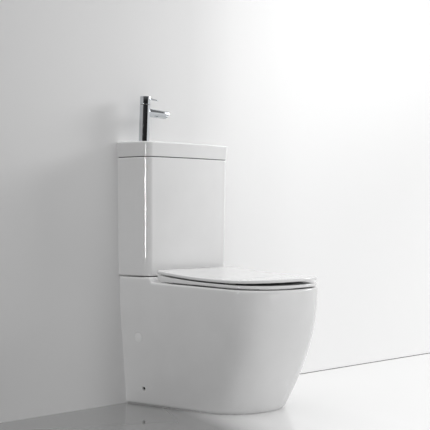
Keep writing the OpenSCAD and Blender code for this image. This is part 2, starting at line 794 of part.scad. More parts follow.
module flush_valve_lift() {
    color(blue_colour) at_valve() difference() {
        union() {
            translate([0, 0, 11]) cylinder(r = 33, h = 5);
            translate([0, 0, 11]) cylinder(r = overflow_r, h = 255);
        }
        translate([0, 0, 10]) cylinder(r = 13.5, h = 270);
    }
}
module flush_seal() {
    color(rubber_colour) at_valve() translate([0, 0, 8.3]) tube(31, 14, 2.7);
}
module flush_valve_nut() {
    color(plastic_colour) at_valve() translate([0, 0, -cistern_floor - 14]) difference() {
        cylinder(r = 43, h = 14, $fn = 12);
        translate([0, 0, -1]) cylinder(r = 31.05, h = 16);
    }
}
module coupling_gasket() {
    color(rubber_colour) translate([0, at(coupling_reach), ledge_z - 28])
        tube(49, 34, 17);
}

// ---- Fill valve ----------------------------------------------------------------------

fill_top = 265;
tail_r = 8.3;
float_low = 50;
module at_fill() {
    translate([fill_x, at(fill_reach), floor_top]) children();
}
module fill_valve() {
    color(plastic_colour) at_fill() difference() {
        union() {
            cylinder(r = 19, h = 4);
            translate([0, 0, -28]) cylinder(r = 10.4, h = 29);
            translate([0, 0, -70]) cylinder(r = tail_r, h = 43);
            translate([0, 0, 4]) cylinder(r = 10, h = fill_top - 22);
            translate([0, 0, fill_top - 18]) cylinder(r = 20, h = 18);
            // collar on which the float rests when the cistern is empty
            translate([0, 0, float_low - 6]) cylinder(r = 14, h = 6);
            // quiet fill pipe
            translate([-30, 0, 20]) cylinder(r = 6, h = fill_top - 26);
            translate([-30, -6, fill_top - 16]) cube([28, 12, 10]);
        }
        translate([0, 0, -71]) cylinder(r = 6, h = fill_top + 55);
    }
}
module float_cup() {
    color(blue_colour) at_fill() translate([0, 0, float_low]) difference() {
        cylinder(r = 22, h = 70);
        translate([0, 0, -1]) cylinder(r = 10.08, h = 80);
        translate([0, 0, -1]) difference() {
            cylinder(r = 19.5, h = 60);
            cylinder(r = 12.6, h = 62);
        }
    }
}
module fill_valve_gasket() {
    color(rubber_colour) at_fill() translate([0, 0, -cistern_floor - 3]) tube(17, 10.45, 3);
}
module fill_valve_nut() {
    color(plastic_colour) at_fill() translate([0, 0, -cistern_floor - 14]) difference() {
        cylinder(r = 18, h = 11, $fn = 6);
        translate([0, 0, -1]) cylinder(r = 10.45, h = 13);
    }
}

// ---- Seat ------------------------------------------------------------------------------

// The seat follows the pan's outline, drawn in a little
seat_plan = [0, 184, 187, 438, depth, nose_bluntness];
seat_inset = 2.5;
ring_rear = 152;
cover_rear = 151;
ring_hole = [0, 105, 232, 487];
knuckle_offset = 17.5;
buffer_x = 158;

// Heights of the seat's faces over the reach, in millimetres
// The ring is thicker towards the hinges, where its top follows the cover.
function ring_low(reach) = pan_top(reach) + 4 + 9 * pow(max(0, (180 - reach) / 28), 2);
function ring_high(reach) = reach < 345 ? max(pan_top(reach) + 13, cover_low(reach) - 4.3) : pan_top(reach) + 13;
function cover_low(reach) = 393.5 - 0.048 * (reach - 350) + 0.0002 * pow(reach - 350, 2);
function cover_high(reach) = cover_low(reach) + 9.5;

// The rear corners are rounded by drawing in the first points
function seat_half(rear, inset) = let (
        body = pan_half(seat_plan, rear + 14, inset),
        w = body[0][0])
    concat([for (a = [0 : 22.5 : 67.5]) [w - 14 + 14 * sin(a), rear + 14 - 14 * cos(a)]], body);

module seat_ring() {
    color(seat_colour) {
        difference() {
            union() {
                // the ring reaches back beside the hinges
                difference() {
                    wave_slab(seat_half(ring_rear, seat_inset + 1), function (v) ring_low(v), function (v) ring_high(v));
                    translate([-118, at(171), 350]) cube([236, 60, 80]);
                }
                for (s = [-1, 1]) translate([s * (hinge_spacing / 2 - knuckle_offset) - 7, at(hinge_reach), hinge_z])
                    ring_knuckle();
            }
            loft([lift(whole(bowl_half(ring_hole, -4)), 350), lift(whole(bowl_half(ring_hole, 8)), 410)]);
            translate([-100, at(hinge_reach), hinge_z]) rotate([0, 90, 0]) cylinder(r = pin_r + 0.05, h = 200);
        }
    }
}
// Barrel on the hinge pin with a web down to the ring
module ring_knuckle() {
    rotate([0, 90, 0]) cylinder(r = 7, h = 14);
    rotate([23.5, 0, 0]) translate([0, -26, -3]) cube([14, 22, 6]);
}
module seat_cover() {
    color(seat_colour) difference() {
        union() {
            wave_slab(seat_half(cover_rear, seat_inset), function (v) cover_low(v), function (v) cover_high(v));
            for (s = [-1, 1]) translate([s * (hinge_spacing / 2 + knuckle_offset) - 7, at(hinge_reach), hinge_z]) {
                rotate([0, 90, 0]) cylinder(r = 7, h = 14);
                translate([0, -5, 0]) cube([14, 10, 14]);
            }
        }
        translate([-110, at(hinge_reach), hinge_z]) rotate([0, 90, 0]) cylinder(r = pin_r + 0.05, h = 220);
    }
}

// The posts stand on the back edge of their foot, because the pan slopes away under it
post_z = pan_top(hinge_reach - 14);
module hinge_posts() {
    color(chrome_colour) both_sides(hinge_spacing / 2) translate([0, at(hinge_reach), 0]) difference() {
        union() {
            translate([0, 0, post_z]) cylinder(r = 14, h = 3);
            translate([0, 0, post_z]) cylinder(r = 8, h = hinge_z - post_z);
            translate([-9, 0, hinge_z]) rotate([0, 90, 0]) cylinder(r = 6.5, h = 18);
        }
        translate([-30, 0, hinge_z]) rotate([0, 90, 0]) cylinder(r = pin_r, h = 60);
    }
}
pin_len = 66;
module hinge_pins() {
    color(chrome_colour) both_sides(hinge_spacing / 2) translate([-pin_len / 2, at(hinge_reach), hinge_z])
        rotate([0, 90, 0]) cylinder(r = pin_r, h = pin_len);
}
stud_low_z = 330;
module hinge_studs() {
    color(chrome_colour) both_sides(hinge_spacing / 2) translate([0, at(hinge_reach), stud_low_z])
        cylinder(r = 3, h = post_z - stud_low_z);
}
module hinge_nuts() {
    color(plastic_colour) both_sides(hinge_spacing / 2) translate([0, at(hinge_reach), 338]) difference() {
        union() {
            cylinder(r = 8, h = 14, $fn = 6);
            translate([0, 0, 10]) cylinder(r = 12, h = 4);
        }
        translate([0, 0, -1]) cylinder(r = 3.05, h = 20);
    }
}
// Slow-close dampers: barrels round the hinge axis beside the knuckles
module damper() {
    rotate([0, 90, 0]) tube(6.8, pin_r + 1.2, 8);
}
module seat_damper() {
    color(plastic_colour) translate([hinge_spacing / 2 - knuckle_offset - 15, at(hinge_reach), hinge_z]) damper();
}
module cover_damper() {
    color(plastic_colour) translate([-hinge_spacing / 2 - knuckle_offset - 15, at(hinge_reach), hinge_z]) damper();
}

buffer_gap = 0.6;
module buffer(slope, low, high) {
    rotate([atan(slope), 0, 0]) translate([0, 0, low]) hull() for (e = [-8, 8])
        translate([0, e, 0]) cylinder(r = 4, h = high - low, $fn = 20);
}
module seat_buffers() {
    color(rubber_colour) for (s = [-1, 1]) for (reach = [274, 430])
        translate([s * buffer_x, at(reach), pan_top(reach)]) buffer(top_slope, buffer_gap, 4.15);
}
module cover_buffers() {
    reach = 437;
    gap = cover_low(reach) - ring_high(reach);
    color(rubber_colour) for (s = [-1, 1]) translate([s * buffer_x, at(reach), ring_high(reach)])
        buffer(0.0132, buffer_gap + 0.25, gap + 0.2);
}

// ---- Assembly ----------------------------------------------------------------------------

pan();
cistern();
basin();
basin_seal();
seat_ring();
seat_cover();
seat_buffers();
cover_buffers();
hinge_posts();
hinge_pins();
hinge_studs();
hinge_nuts();
seat_damper();
cover_damper();
tap_base_ring();
tap_body();
tap_spout();
tap_aerator();
tap_cartridge();
tap_cartridge_nut();
tap_stem();
tap_handle();
tap_lever();
tap_handle_screw();
tap_shank();
tap_gasket();
tap_clamp_plate();
tap_nut();
tap_tails();
waste_grid();
waste_gasket();
waste_backnut();
waste_tailpipe();
button_housing();
button_full();
button_half();
full_spring();
half_spring();
button_nut();
flush_cables();
flush_valve_body();
flush_valve_lift();
flush_seal();
flush_valve_nut();
coupling_gasket();
fill_valve();
float_cup();
fill_valve_nut();
fill_valve_gasket();
cistern_bolts();
cistern_bolt_washers();
cistern_wing_nuts();
cistern_pads();
floor_brackets();
bracket_screws();
side_caps();
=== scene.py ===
import json
import math

import bmesh
import bpy
from mathutils import Matrix, Vector


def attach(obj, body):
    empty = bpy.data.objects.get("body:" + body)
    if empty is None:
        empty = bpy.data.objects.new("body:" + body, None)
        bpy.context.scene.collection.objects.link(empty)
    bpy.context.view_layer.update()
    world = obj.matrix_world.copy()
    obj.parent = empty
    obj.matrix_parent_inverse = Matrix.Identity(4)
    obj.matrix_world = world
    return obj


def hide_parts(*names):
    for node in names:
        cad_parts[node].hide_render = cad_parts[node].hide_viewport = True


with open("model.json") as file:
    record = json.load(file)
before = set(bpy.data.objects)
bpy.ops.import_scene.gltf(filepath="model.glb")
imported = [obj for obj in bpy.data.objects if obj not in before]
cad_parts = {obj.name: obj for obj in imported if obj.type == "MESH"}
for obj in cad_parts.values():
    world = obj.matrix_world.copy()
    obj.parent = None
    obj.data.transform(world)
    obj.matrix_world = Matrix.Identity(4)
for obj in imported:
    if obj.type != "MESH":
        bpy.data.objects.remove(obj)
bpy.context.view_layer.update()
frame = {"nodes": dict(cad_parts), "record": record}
scene = bpy.context.scene
scene.view_settings.view_transform = "Standard"

# Sizes are in millimetres. Reach is the distance from the wall towards the front.
depth = 560.0


def at(x, reach, z):
    return Vector((x / 1000, (depth / 2 - reach) / 1000, z / 1000))


# Camera: level, on the left of the front, 49 degrees round
camera = {"place": (-2.9097, -2.4585, 0.5881), "look": (0.758, 0.6522, 0.0), "pixels": 430, "focal": 1235.3}
camData = bpy.data.cameras.new("camera")
camData.sensor_width = 36
camData.lens = 36 * camera["focal"] / camera["pixels"]
camObject = bpy.data.objects.new("camera", camData)
scene.collection.objects.link(camObject)
camObject.location = camera["place"]
camObject.rotation_euler = Vector(camera["look"]).to_track_quat("-Z", "Y").to_euler()
scene.camera = camObject
print("camera made")


# Material helpers
def linear(code):
    out = []
    for i in (0, 2, 4):
        v = int(code[i : i + 2], 16) / 255
        out.append(v / 12.92 if v <= 0.04045 else ((v + 0.055) / 1.055) ** 2.4)
    return (*out, 1)


def addNode(tree, kind, links=None, **values):
    node = tree.nodes.new(kind)
    for name, value in values.items():
        if hasattr(node, name):
            setattr(node, name, value)
        else:
            node.inputs[name.replace("_", " ")].default_value = value
    for name, source in (links or {}).items():
        tree.links.new(source, node.inputs[name])
    return node


def newMaterial(name):
    mat = bpy.data.materials.new(name)
    mat.use_nodes = True
    mat.node_tree.nodes.clear()
    return mat, mat.node_tree


# A surface whose colour and roughness vary a little and whose face is slightly uneven
def makeSurface(name, low, high, rough, grain, bump, metal=0.0, ior=1.5, streak=(1, 1, 1), under=None):
    mat, tree = newMaterial(name)
    spot = addNode(tree, "ShaderNodeTexCoord")
    place = addNode(tree, "ShaderNodeMapping", {"Vector": spot.outputs["Object"]}, Scale=streak)
    noise = addNode(tree, "ShaderNodeTexNoise", {"Vector": place.outputs["Vector"]}, Scale=1000 / grain, Detail=3.0)
    tint = addNode(tree, "ShaderNodeMix", {"Factor": noise.outputs["Factor" if "Factor" in noise.outputs else "Fac"]}, data_type="RGBA")
    tint.inputs[6].default_value = linear(low)
    tint.inputs[7].default_value = linear(high)
    spread = addNode(tree, "ShaderNodeMapRange", {"Value": noise.outputs[0]})
    spread.inputs["To Min"].default_value = rough[0]
    spread.inputs["To Max"].default_value = rough[1]
    gloss = spread.outputs["Result"]
    if under is not None:
        # faces that point down when the seat is closed are rougher
        normal = addNode(tree, "ShaderNodeSeparateXYZ", {"Vector": spot.outputs["Normal"]})
        below = addNode(tree, "ShaderNodeMapRange", {"Value": normal.outputs["Z"]}, From_Min=-0.6, From_Max=-0.9)
        mixed = addNode(tree, "ShaderNodeMix", {0: below.outputs["Result"], 2: gloss})
        mixed.inputs[3].default_value = under
        gloss = mixed.outputs[0]
    relief = addNode(tree, "ShaderNodeBump", {"Height": noise.outputs[0]})
    relief.inputs["Strength"].default_value = bump[0]
    relief.inputs["Distance"].default_value = bump[1] / 1000
    shader = addNode(
        tree,
        "ShaderNodeBsdfPrincipled",
        {"Base Color": tint.outputs[2], "Roughness": gloss, "Normal": relief.outputs["Normal"]},
    )
    shader.inputs["Metallic"].default_value = metal
    if not metal:
        shader.inputs["IOR"].default_value = ior
    addNode(tree, "ShaderNodeOutputMaterial", {"Surface": shader.outputs["BSDF"]})
    return mat


# Vitreous china: white opaque glaze fired over a cast body; mirror-like, with a very slow swell in its reflections
china = makeSurface("glazedVitreousChina", "E9E9E9", "F1F1F1", (0.04, 0.07), 90, (0.05, 0.1), ior=1.52)
# Urea seat plastic: compression moulded and polished, a little softer in gloss than the glaze; the rougher
# underside is a choice, because the photo doesn't show it
urea = makeSurface("mouldedUreaPlastic", "ECECEC", "F2F2F2", (0.05, 0.08), 60, (0.02, 0.03), ior=1.54, under=0.6)
# Chrome plate on brass: polished, with faint lengthwise polishing streaks
chrome = makeSurface("chromePlate", "B9BCC0", "CDD0D3", (0.05, 0.09), 3, (0.05, 0.01), metal=1.0, streak=(1, 1, 0.08))
# Turned brass: machined grooves, dull gold
brass = makeSurface("turnedBrass", "B8934F", "CBA866", (0.22, 0.34), 2, (0.2, 0.03), metal=1.0, streak=(1, 1, 6))
# EPDM rubber: moulded, matte black with a fine bloom
rubber = makeSurface("mouldedEpdmRubber", "151516", "232325", (0.6, 0.75), 1.5, (0.3, 0.05))
# Soft white TPE of the seat buffers: matte and slightly translucent looking
softWhite = makeSurface("softWhiteTpe", "DADAD6", "E6E6E2", (0.45, 0.6), 2, (0.2, 0.04))
# Injection moulded polypropylene: satin, off-white
whitePlastic = makeSurface("mouldedPolypropylene", "D4D6D8", "DEE0E2", (0.38, 0.5), 4, (0.15, 0.05))
# Blue acetal of the moving valve parts: satin
bluePlastic = makeSurface("blueAcetal", "426C9C", "4F7AAB", (0.32, 0.45), 4, (0.15, 0.05))
# Drawn stainless steel: fine lines along the wire or pipe
steel = makeSurface("drawnStainlessSteel", "A3A6A8", "B5B8BA", (0.22, 0.35), 2, (0.2, 0.02), metal=1.0, streak=(1, 1, 0.1))
# The fixing screws get a near-black steel in place of their steel finish; they read as dark spots in the sides
blackSteel = makeSurface("nearBlackScrewSteel", "121213", "1C1C1E", (0.3, 0.42), 2, (0.2, 0.02), metal=1.0)
# Polished ABS of the side caps: whiter than the glaze round it
capPlastic = makeSurface("polishedAbs", "F6F6F6", "FBFBFB", (0.06, 0.1), 40, (0.03, 0.03), ior=1.54)
slotFinish = {
    "ceramic": china, "seat_plastic": urea, "chrome": chrome, "brass": brass, "rubber": rubber,
    "soft_white": softWhite, "white_plastic": whitePlastic, "blue_plastic": bluePlastic, "steel": steel,
}
nodeSlot = {s["node"]: s["material_slot"] for s in frame["record"]["subparts"]}
for name, node in frame["nodes"].items():
    node.data.materials.clear()
    node.data.materials.append(slotFinish[nodeSlot[name]])
# the fixing screws are made near-black
frame["nodes"]["bracket_screws"].data.materials[0] = blackSteel
print("materials made")


# Mesh helpers
# Draws a closed ring and extrudes it through the others, all with the same number of points
def skin(bm, rings, capStart=False, capEnd=False):
    first = bmesh.ops.create_circle(bm, segments=len(rings[0]), radius=1, cap_ends=False)["verts"]
    for v, p in zip(first, rings[0]):
        v.co = p
    loops = [first]
    edges = list({e for v in first for e in v.link_edges})
    for ring in rings[1:]:
        grown = bmesh.ops.extrude_edge_only(bm, edges=edges)["geom"]
        fresh = {g for g in grown if isinstance(g, bmesh.types.BMVert)}
        edges = [g for g in grown if isinstance(g, bmesh.types.BMEdge) and g.verts[0] in fresh and g.verts[1] in fresh]
        step = []
        for v in loops[-1]:
            step.append(next(e.other_vert(v) for e in v.link_edges if e.other_vert(v) in fresh))
        for v, p in zip(step, ring):
            v.co = p
        loops.append(step)
    if capStart:
        bridgeAcross(bm, loops[0])
    if capEnd:
        bridgeAcross(bm, loops[-1])
    return loops


def ringEdge(a, b):
    return next(e for e in a.link_edges if e.other_vert(a) is b)


def ringEdges(loop):
    return [ringEdge(loop[i - 1], loop[i]) for i in range(len(loop))]


# Splits one edge into equal lengths
def splitEvenly(edge, parts):
    pieces, vert = [], edge.verts[0]
    for left in range(parts, 1, -1):
        fresh, corner = bmesh.utils.edge_split(edge, vert, 1 / left)
        near, edge = (fresh, edge) if fresh.other_vert(corner) is vert else (edge, fresh)
        pieces.append(near)
        vert = corner
    return pieces + [edge]


# Closes a mirrored ring with strips that run from its left half to its right half
def bridgeAcross(bm, loop, count=None):
    half = len(loop) // 2
    count = half if count is None else count
    left = [ringEdge(loop[i], loop[i + 1]) for i in range(count - 1)]
    right = [ringEdge(loop[-1 - i], loop[-2 - i]) for i in range(count - 1)]
    return bmesh.ops.bridge_loops(bm, edges=left + right)["faces"]


def finishPiece(bm, name, body, finish, replaced=(), sharp=38):
    bmesh.ops.remove_doubles(bm, verts=bm.verts, dist=1e-6)
    bmesh.ops.recalc_face_normals(bm, faces=bm.faces)
    mesh = bpy.data.meshes.new(name)
    bm.to_mesh(mesh)
    bm.free()
    mesh.polygons.foreach_set("use_smooth", [True] * len(mesh.polygons))
    mesh.set_sharp_from_angle(angle=math.radians(sharp))
    piece = bpy.data.objects.new(name, mesh)
    scene.collection.objects.link(piece)
    mesh.materials.append(finish)
    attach(piece, body)
    if replaced:
        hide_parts(*replaced)
    return piece


# Rebuilds a finished piece from its own modifiers, less the shapes cut out of it
def cutAway(piece, cutters, sharp=38):
    tools = []
    for bm in cutters:
        bmesh.ops.recalc_face_normals(bm, faces=bm.faces)
        mesh = bpy.data.meshes.new("cutter")
        bm.to_mesh(mesh)
        bm.free()
        tool = bpy.data.objects.new("cutter", mesh)
        scene.collection.objects.link(tool)
        cut = piece.modifiers.new("cut", "BOOLEAN")
        cut.operation = "DIFFERENCE"
        cut.solver = "EXACT"
        cut.object = tool
        tools.append(tool)
    graph = bpy.context.evaluated_depsgraph_get()
    mesh = bpy.data.meshes.new_from_object(piece.evaluated_get(graph))
    piece.modifiers.clear()
    piece.data = mesh
    mesh.polygons.foreach_set("use_smooth", [True] * len(mesh.polygons))
    mesh.set_sharp_from_angle(angle=math.radians(sharp))
    for tool in tools:
        bpy.data.meshes.remove(tool.data)
    return piece


# Puts the shape in bm into a finished piece, as a part of the same casting
def castOn(piece, bm, sharp=38):
    bmesh.ops.recalc_face_normals(bm, faces=bm.faces)
    bm.from_mesh(piece.data)
    bm.to_mesh(piece.data)
    bm.free()
    piece.data.polygons.foreach_set("use_smooth", [True] * len(piece.data.polygons))
    piece.data.set_sharp_from_angle(angle=math.radians(sharp))


# Moves the shape in part into bm
def gather(bm, part):
    mesh = bpy.data.meshes.new("part")
    part.to_mesh(mesh)
    part.free()
    bm.from_mesh(mesh)
    bpy.data.meshes.remove(mesh)


# Turns a profile of (radius, height) points about Z and moves it into place
def turned(profile, matrix, steps=72):
    bm = bmesh.new()
    verts = [bm.verts.new((r / 1000, 0, h / 1000)) for r, h in profile]
    edges = [bm.edges.new((a, b)) for a, b in zip(verts, verts[1:])]
    bmesh.ops.spin(bm, geom=verts + edges, axis=(0, 0, 1), cent=(0, 0, 0), angle=2 * math.pi, steps=steps, use_merge=True)
    bmesh.ops.remove_doubles(bm, verts=bm.verts, dist=1e-7)
    bmesh.ops.transform(bm, matrix=matrix, verts=bm.verts)
    return bm


# Profile of a solid disc or bar with rounded rims
def barProfile(r, low, high, edge=1.0, steps=5):
    def arc(cx, cz, start):
        return [
            (cx + edge * math.cos(math.radians(start + 90 * i / steps)), cz + edge * math.sin(math.radians(start + 90 * i / steps)))
            for i in range(steps + 1)
        ]

    return [(0, low)] + arc(r - edge, low + edge, -90) + arc(r - edge, high - edge, 0) + [(0, high)]


def smoothStep(a, b, v):
    t = min(max((v - a) / (b - a), 0), 1)
    return t * t * (3 - 2 * t)


# Pan
pan = {
    "full": 345.0, "half": 187.0, "shoulder": 438.0, "nose": depth, "blunt": 2.25,
    "drawSide": 35.0, "drawBack": 32.0, "drawShoulder": 106.0, "drawNose": 104.0,
    "back": 4.0, "ledge": 398.0, "topMid": 376.0, "slope": 0.0325, "step": (128.0, 141.0),
    "wall": 13.0, "rim": 6.0, "openTop": 352.0,
}
# points along each side: close together at the step from the ledge down to the seat
sideReach = [
    0, 12, 28, 46, 66, 86, 104, 116, 121, 124, 126, 128, 130, 132, 134, 136, 138, 140, 143, 148,
    156, 168, 184, 204, 228, 254, 282, 310, 338, 364, 388, 408, 424, 434,
]
noseSteps = 34


def panSection(z):
    k = max(0.0, 1 - z / pan["full"])
    draw, drawBack, drawNose = k**1.65, k**1.2, k**1.9
    return (
        pan["half"] - pan["drawBack"] * drawBack, pan["half"] - pan["drawSide"] * draw,
        pan["shoulder"] - pan["drawShoulder"] * draw, pan["nose"] - pan["drawNose"] * drawNose, pan["blunt"] - 0.15 * draw,
    )


# Half outline as (x, reach) from the back corner to just short of the nose
def outline(section, start, inset, sides, steps=noseSteps):
    back, half, shoulder, nose, blunt = section
    points = []
    for s in sides:
        t = s / 438.0
        points.append((half - inset - (half - back) * (1 - t) ** 2, start + (shoulder - start) * t))
    for j in range(steps):
        a = math.radians(90 * (j + 0.4) / steps)
        points.append(((half - inset) * math.cos(a) ** (2 / blunt), shoulder + (nose - inset - shoulder) * math.sin(a) ** (2 / blunt)))
    return points


def mirrored(half, height):
    left = [at(-x, v, height(v)) for x, v in half]
    right = [at(x, v, height(v)) for x, v in reversed(half)]
    return left + right


def panTop(reach):
    shelf = pan["topMid"] - pan["slope"] * (reach - 350)
    return shelf + (pan["ledge"] - shelf) * (1 - smoothStep(*pan["step"], reach))


def panRing(z, inset=0.0):
    return mirrored(outline(panSection(z), pan["back"], inset, sideReach), lambda v: z)


bowlLevels = [
    (66, 14, 278, 304), (72, 26, 262, 318), (112, 31, 256, 330), (150, 43, 250, 354), (190, 62, 240, 408),
    (230, 92, 228, 456), (280, 115, 219, 494), (330, 127, 214, 512), (366, 131, 212, 519),
]


# Bowl section at a height, eased between the levels
def bowlAt(z):
    for a, b in zip(bowlLevels, bowlLevels[1:]):
        if z <= b[0] or b is bowlLevels[-1]:
            i = bowlLevels.index(a)
            before = bowlLevels[max(i - 1, 0)]
            after = bowlLevels[min(i + 2, len(bowlLevels) - 1)]
            t = min(max((z - a[0]) / (b[0] - a[0]), 0), 1)
            out = []
            for k in (1, 2, 3):
                m0 = (b[k] - before[k]) / max(b[0] - before[0], 1) * (b[0] - a[0])
                m1 = (after[k] - a[k]) / max(after[0] - a[0], 1) * (b[0] - a[0])
                out.append(
                    (2 * t**3 - 3 * t**2 + 1) * a[k] + (t**3 - 2 * t**2 + t) * m0 + (3 * t**2 - 2 * t**3) * b[k] + (t**3 - t**2) * m1
                )
            return out


def bowlRing(z, grow, rise=None, steps=48):
    half, rear, front = bowlAt(z)
    points = []
    for i in range(steps):
        a = math.radians(180 * (i + 0.5) / steps)
        points.append(((half + grow) * math.sin(a), (rear + front) / 2 - ((front - rear) / 2 + grow) * math.cos(a)))
    return mirrored(points, rise or (lambda v: z))


def makePan():
    bm = bmesh.new()
    rim = pan["rim"]
    # a shadow groove round the foot
    rings = [panRing(0, 3), panRing(1.5, 3), panRing(3, 1.2), panRing(5, 0)]
    rings += [panRing(5 + (300 - 5) * (i / 34) ** 1.15, 0) for i in range(1, 35)]
    for i in range(1, 8):
        t = i / 7
        rings.append(mirrored(outline(panSection(300 + 45 * t), pan["back"], 0, sideReach), lambda v, t=t: 300 + (panTop(v) - rim - 300) * t))
    for i in range(1, 7):
        a = math.radians(90 * i / 6)
        rings.append(mirrored(
            outline(panSection(345), pan["back"], rim * (1 - math.cos(a)), sideReach),
            lambda v, a=a: panTop(v) - rim + rim * math.sin(a),
        ))
    loops = skin(bm, rings)
    # the back of the pan is open below the ledge
    openFaces = [f for f in bm.faces if all(v.co.y > (depth / 2 - pan["back"]) / 1000 - 1e-4 for v in f.verts)
                 and max(v.co.z for v in f.verts) < pan["openTop"] / 1000]
    bmesh.ops.delete(bm, geom=openFaces, context="FACES_ONLY")
    top = loops[-1]
    stepCount = next(i for i, s in enumerate(sideReach) if s >= 143) + 1
    bridgeAcross(bm, top, stepCount)
    cross = ringEdge(top[stepCount - 1], top[-stepCount])
    shelfEdges = [ringEdge(top[i], top[i + 1]) for i in range(stepCount - 1, len(top) - stepCount)]
    shelfEdges += splitEvenly(cross, 26)
    bowlRings = []
    for i in range(0, 6):
        a = math.radians(90 * i / 5)
        bowlRings.append(bowlRing(366, 7 * (1 - math.sin(a)), lambda v, a=a: panTop(v) - 7 + 7 * math.cos(a)))
    for i in range(1, 34):
        z = 362 - (362 - 66) * (i / 33) ** 0.95
        bowlRings.append(bowlRing(z, 0))
    bowl = skin(bm, bowlRings, capEnd=True)
    bmesh.ops.bridge_loops(bm, edges=shelfEdges + ringEdges(bowl[0]))
    piece = finishPiece(bm, "panShell", "toilet", china, ["pan"])
    wall = piece.modifiers.new("wall", "SOLIDIFY")
    wall.thickness = pan["wall"] / 1000
    wall.offset = -1
    return piece


def mm(x, y, z):
    return Matrix.Translation((x / 1000, y / 1000, z / 1000))


# A block with rounded edges, added to bm
def block(bm, size, matrix, edge=1.0):
    cube = bmesh.ops.create_cube(bm, size=1)["verts"]
    bmesh.ops.scale(bm, vec=Vector(size) / 1000, verts=cube)
    edges = list({e for v in cube for e in v.link_edges})
    made = bmesh.ops.bevel(bm, geom=edges, offset=edge / 1000, segments=3, profile=0.5, affect="EDGES", material=-1)
    verts = list({v for f in made["faces"] for v in f.verts} | {v for v in cube if v.is_valid})
    bmesh.ops.transform(bm, matrix=matrix, verts=verts)


def panSide(z, reach):
    back, half, shoulder, nose, blunt = panSection(z)
    t = (reach - pan["back"]) / (shoulder - pan["back"])
    return half - (half - back) * (1 - t) ** 2


# Outlet: spigot, trap and the rest of the casting's inside
drain = {"spigot": 51.0, "bore": 42.0, "collar": 74.0, "outer": 47.0, "inner": 36.0, "bend": 34.0, "points": 40,
         "path": ((14, 180), (140, 180), (200, 214), (290, 108)),
         "capReach": 76.0, "capZ": 211.0, "capR": 16.0, "fixReach": 83.0, "fixZ": 52.0, "fixR": 6.0}


# Middle line of the outlet as (place, direction) pairs in reach and height, with rounded bends
def drainLine():
    corners = [Vector(p) for p in drain["path"]]
    line = [corners[0]]
    for before, corner, after in zip(corners, corners[1:], corners[2:]):
        a = corner + (before - corner).normalized() * drain["bend"]
        b = corner + (after - corner).normalized() * drain["bend"]
        line += [a.lerp(corner, t / 6).lerp(corner.lerp(b, t / 6), t / 6) for t in range(7)]
    line.append(corners[-1])
    ways = [(line[min(i + 1, len(line) - 1)] - line[max(i - 1, 0)]).normalized() for i in range(len(line))]
    return list(zip(line, ways))


def roundRing(place, way, r):
    points = []
    for k in range(drain["points"]):
        a = math.radians(90 + 360 * (k + 0.5) / drain["points"])
        points.append(at(r * math.cos(a), place[0] - way[1] * r * math.sin(a), place[1] + way[0] * r * math.sin(a)))
    return points


# A pipe along the middle line whose far end is round: starts lists (reach, radius) of its straight beginning
def pipe(starts, r):
    line = drainLine()
    bm = bmesh.new()
    rings = [roundRing(Vector((reach, line[0][0][1])), line[0][1], radius) for reach, radius in starts]
    rings += [roundRing(place, way, r) for place, way in line[1:]]
    end, way = line[-1]
    rings += [roundRing(end + way * r * math.sin(math.radians(a)), way, r * math.cos(math.radians(a))) for a in (15, 30, 45, 60, 75, 86)]
    skin(bm, rings, capStart=True, capEnd=True)
    return bm


def hollowPipe():
    bore, inner = drain["bore"], drain["inner"]
    return pipe([(10, bore), (70, bore), (71, inner - 1), (73.5, inner - 1), (74, inner)], inner)


def rod(x, reach, z, r, side, length):
    bm = bmesh.new()
    bmesh.ops.create_cone(bm, cap_ends=True, segments=48, radius1=r / 1000, radius2=r / 1000, depth=length / 1000)
    place = Matrix.Translation(at(x, reach, z)) @ Matrix.Rotation(side * math.pi / 2, 4, "Y") @ mm(0, 0, length / 2)
    bmesh.ops.transform(bm, matrix=place, verts=bm.verts)
    return bm


def finishPan(piece):
    cutters = [hollowPipe()]
    for side in (-1, 1):
        cutters.append(rod(side * 120, drain["fixReach"], drain["fixZ"], drain["fixR"], side, 60))
        seatX = panSide(drain["capZ"], drain["capReach"]) - 1.2
        cutters.append(rod(side * seatX, drain["capReach"], drain["capZ"], drain["capR"] + 0.35, side, 20))
    cutAway(piece, cutters)
    spigot, collar = drain["spigot"], drain["collar"]
    starts = [(14, drain["bore"]), (14, spigot - 1), (15, spigot), (collar - 1.5, spigot), (collar, spigot - 1.5), (collar, drain["outer"])]
    outer = pipe(starts, drain["outer"])
    mouth = finishPiece(outer, "outlet", "toilet", china)
    bowl = bmesh.new()
    levels = (62, 66, 72, 90, 112, 130, 150, 170, 190, 210, 230, 260, 300)
    skin(bowl, [bowlRing(z, 2) for z in levels], capStart=True, capEnd=True)
    cutAway(mouth, [hollowPipe(), bowl])
    bm = bmesh.new()
    bm.from_mesh(mouth.data)
    bpy.data.objects.remove(mouth)
    # flushing duct, the thick slab under the cistern and the bosses behind the side fixings
    block(bm, (92, 204, 52), Matrix.Translation(at(0, 124, 330)), 4)
    block(bm, (346, 190, 24), Matrix.Translation(at(0, 100, 364)), 3)
    for side in (-1, 1):
        place = Matrix.Translation(at(side * 148, drain["fixReach"], drain["fixZ"])) @ Matrix.Rotation(side * math.pi / 2, 4, "Y")
        gather(bm, turned([(drain["fixR"], -8), (16, -8), (15, 7), (drain["fixR"], 7), (drain["fixR"], -8)], place, 48))
    castOn(piece, bm)


panShell = makePan()
finishPan(panShell)
print("pan made")


# Cistern and basin
cistern = {"half": 187.5, "flare": 4.5, "depth": 134.5, "lean": 4.5, "bow": 12.0, "corner": 26.0, "foot": 401.0, "top": 766.0, "wall": 10.0}
backSteps, cornerSteps, bowSteps = 10, 16, 14


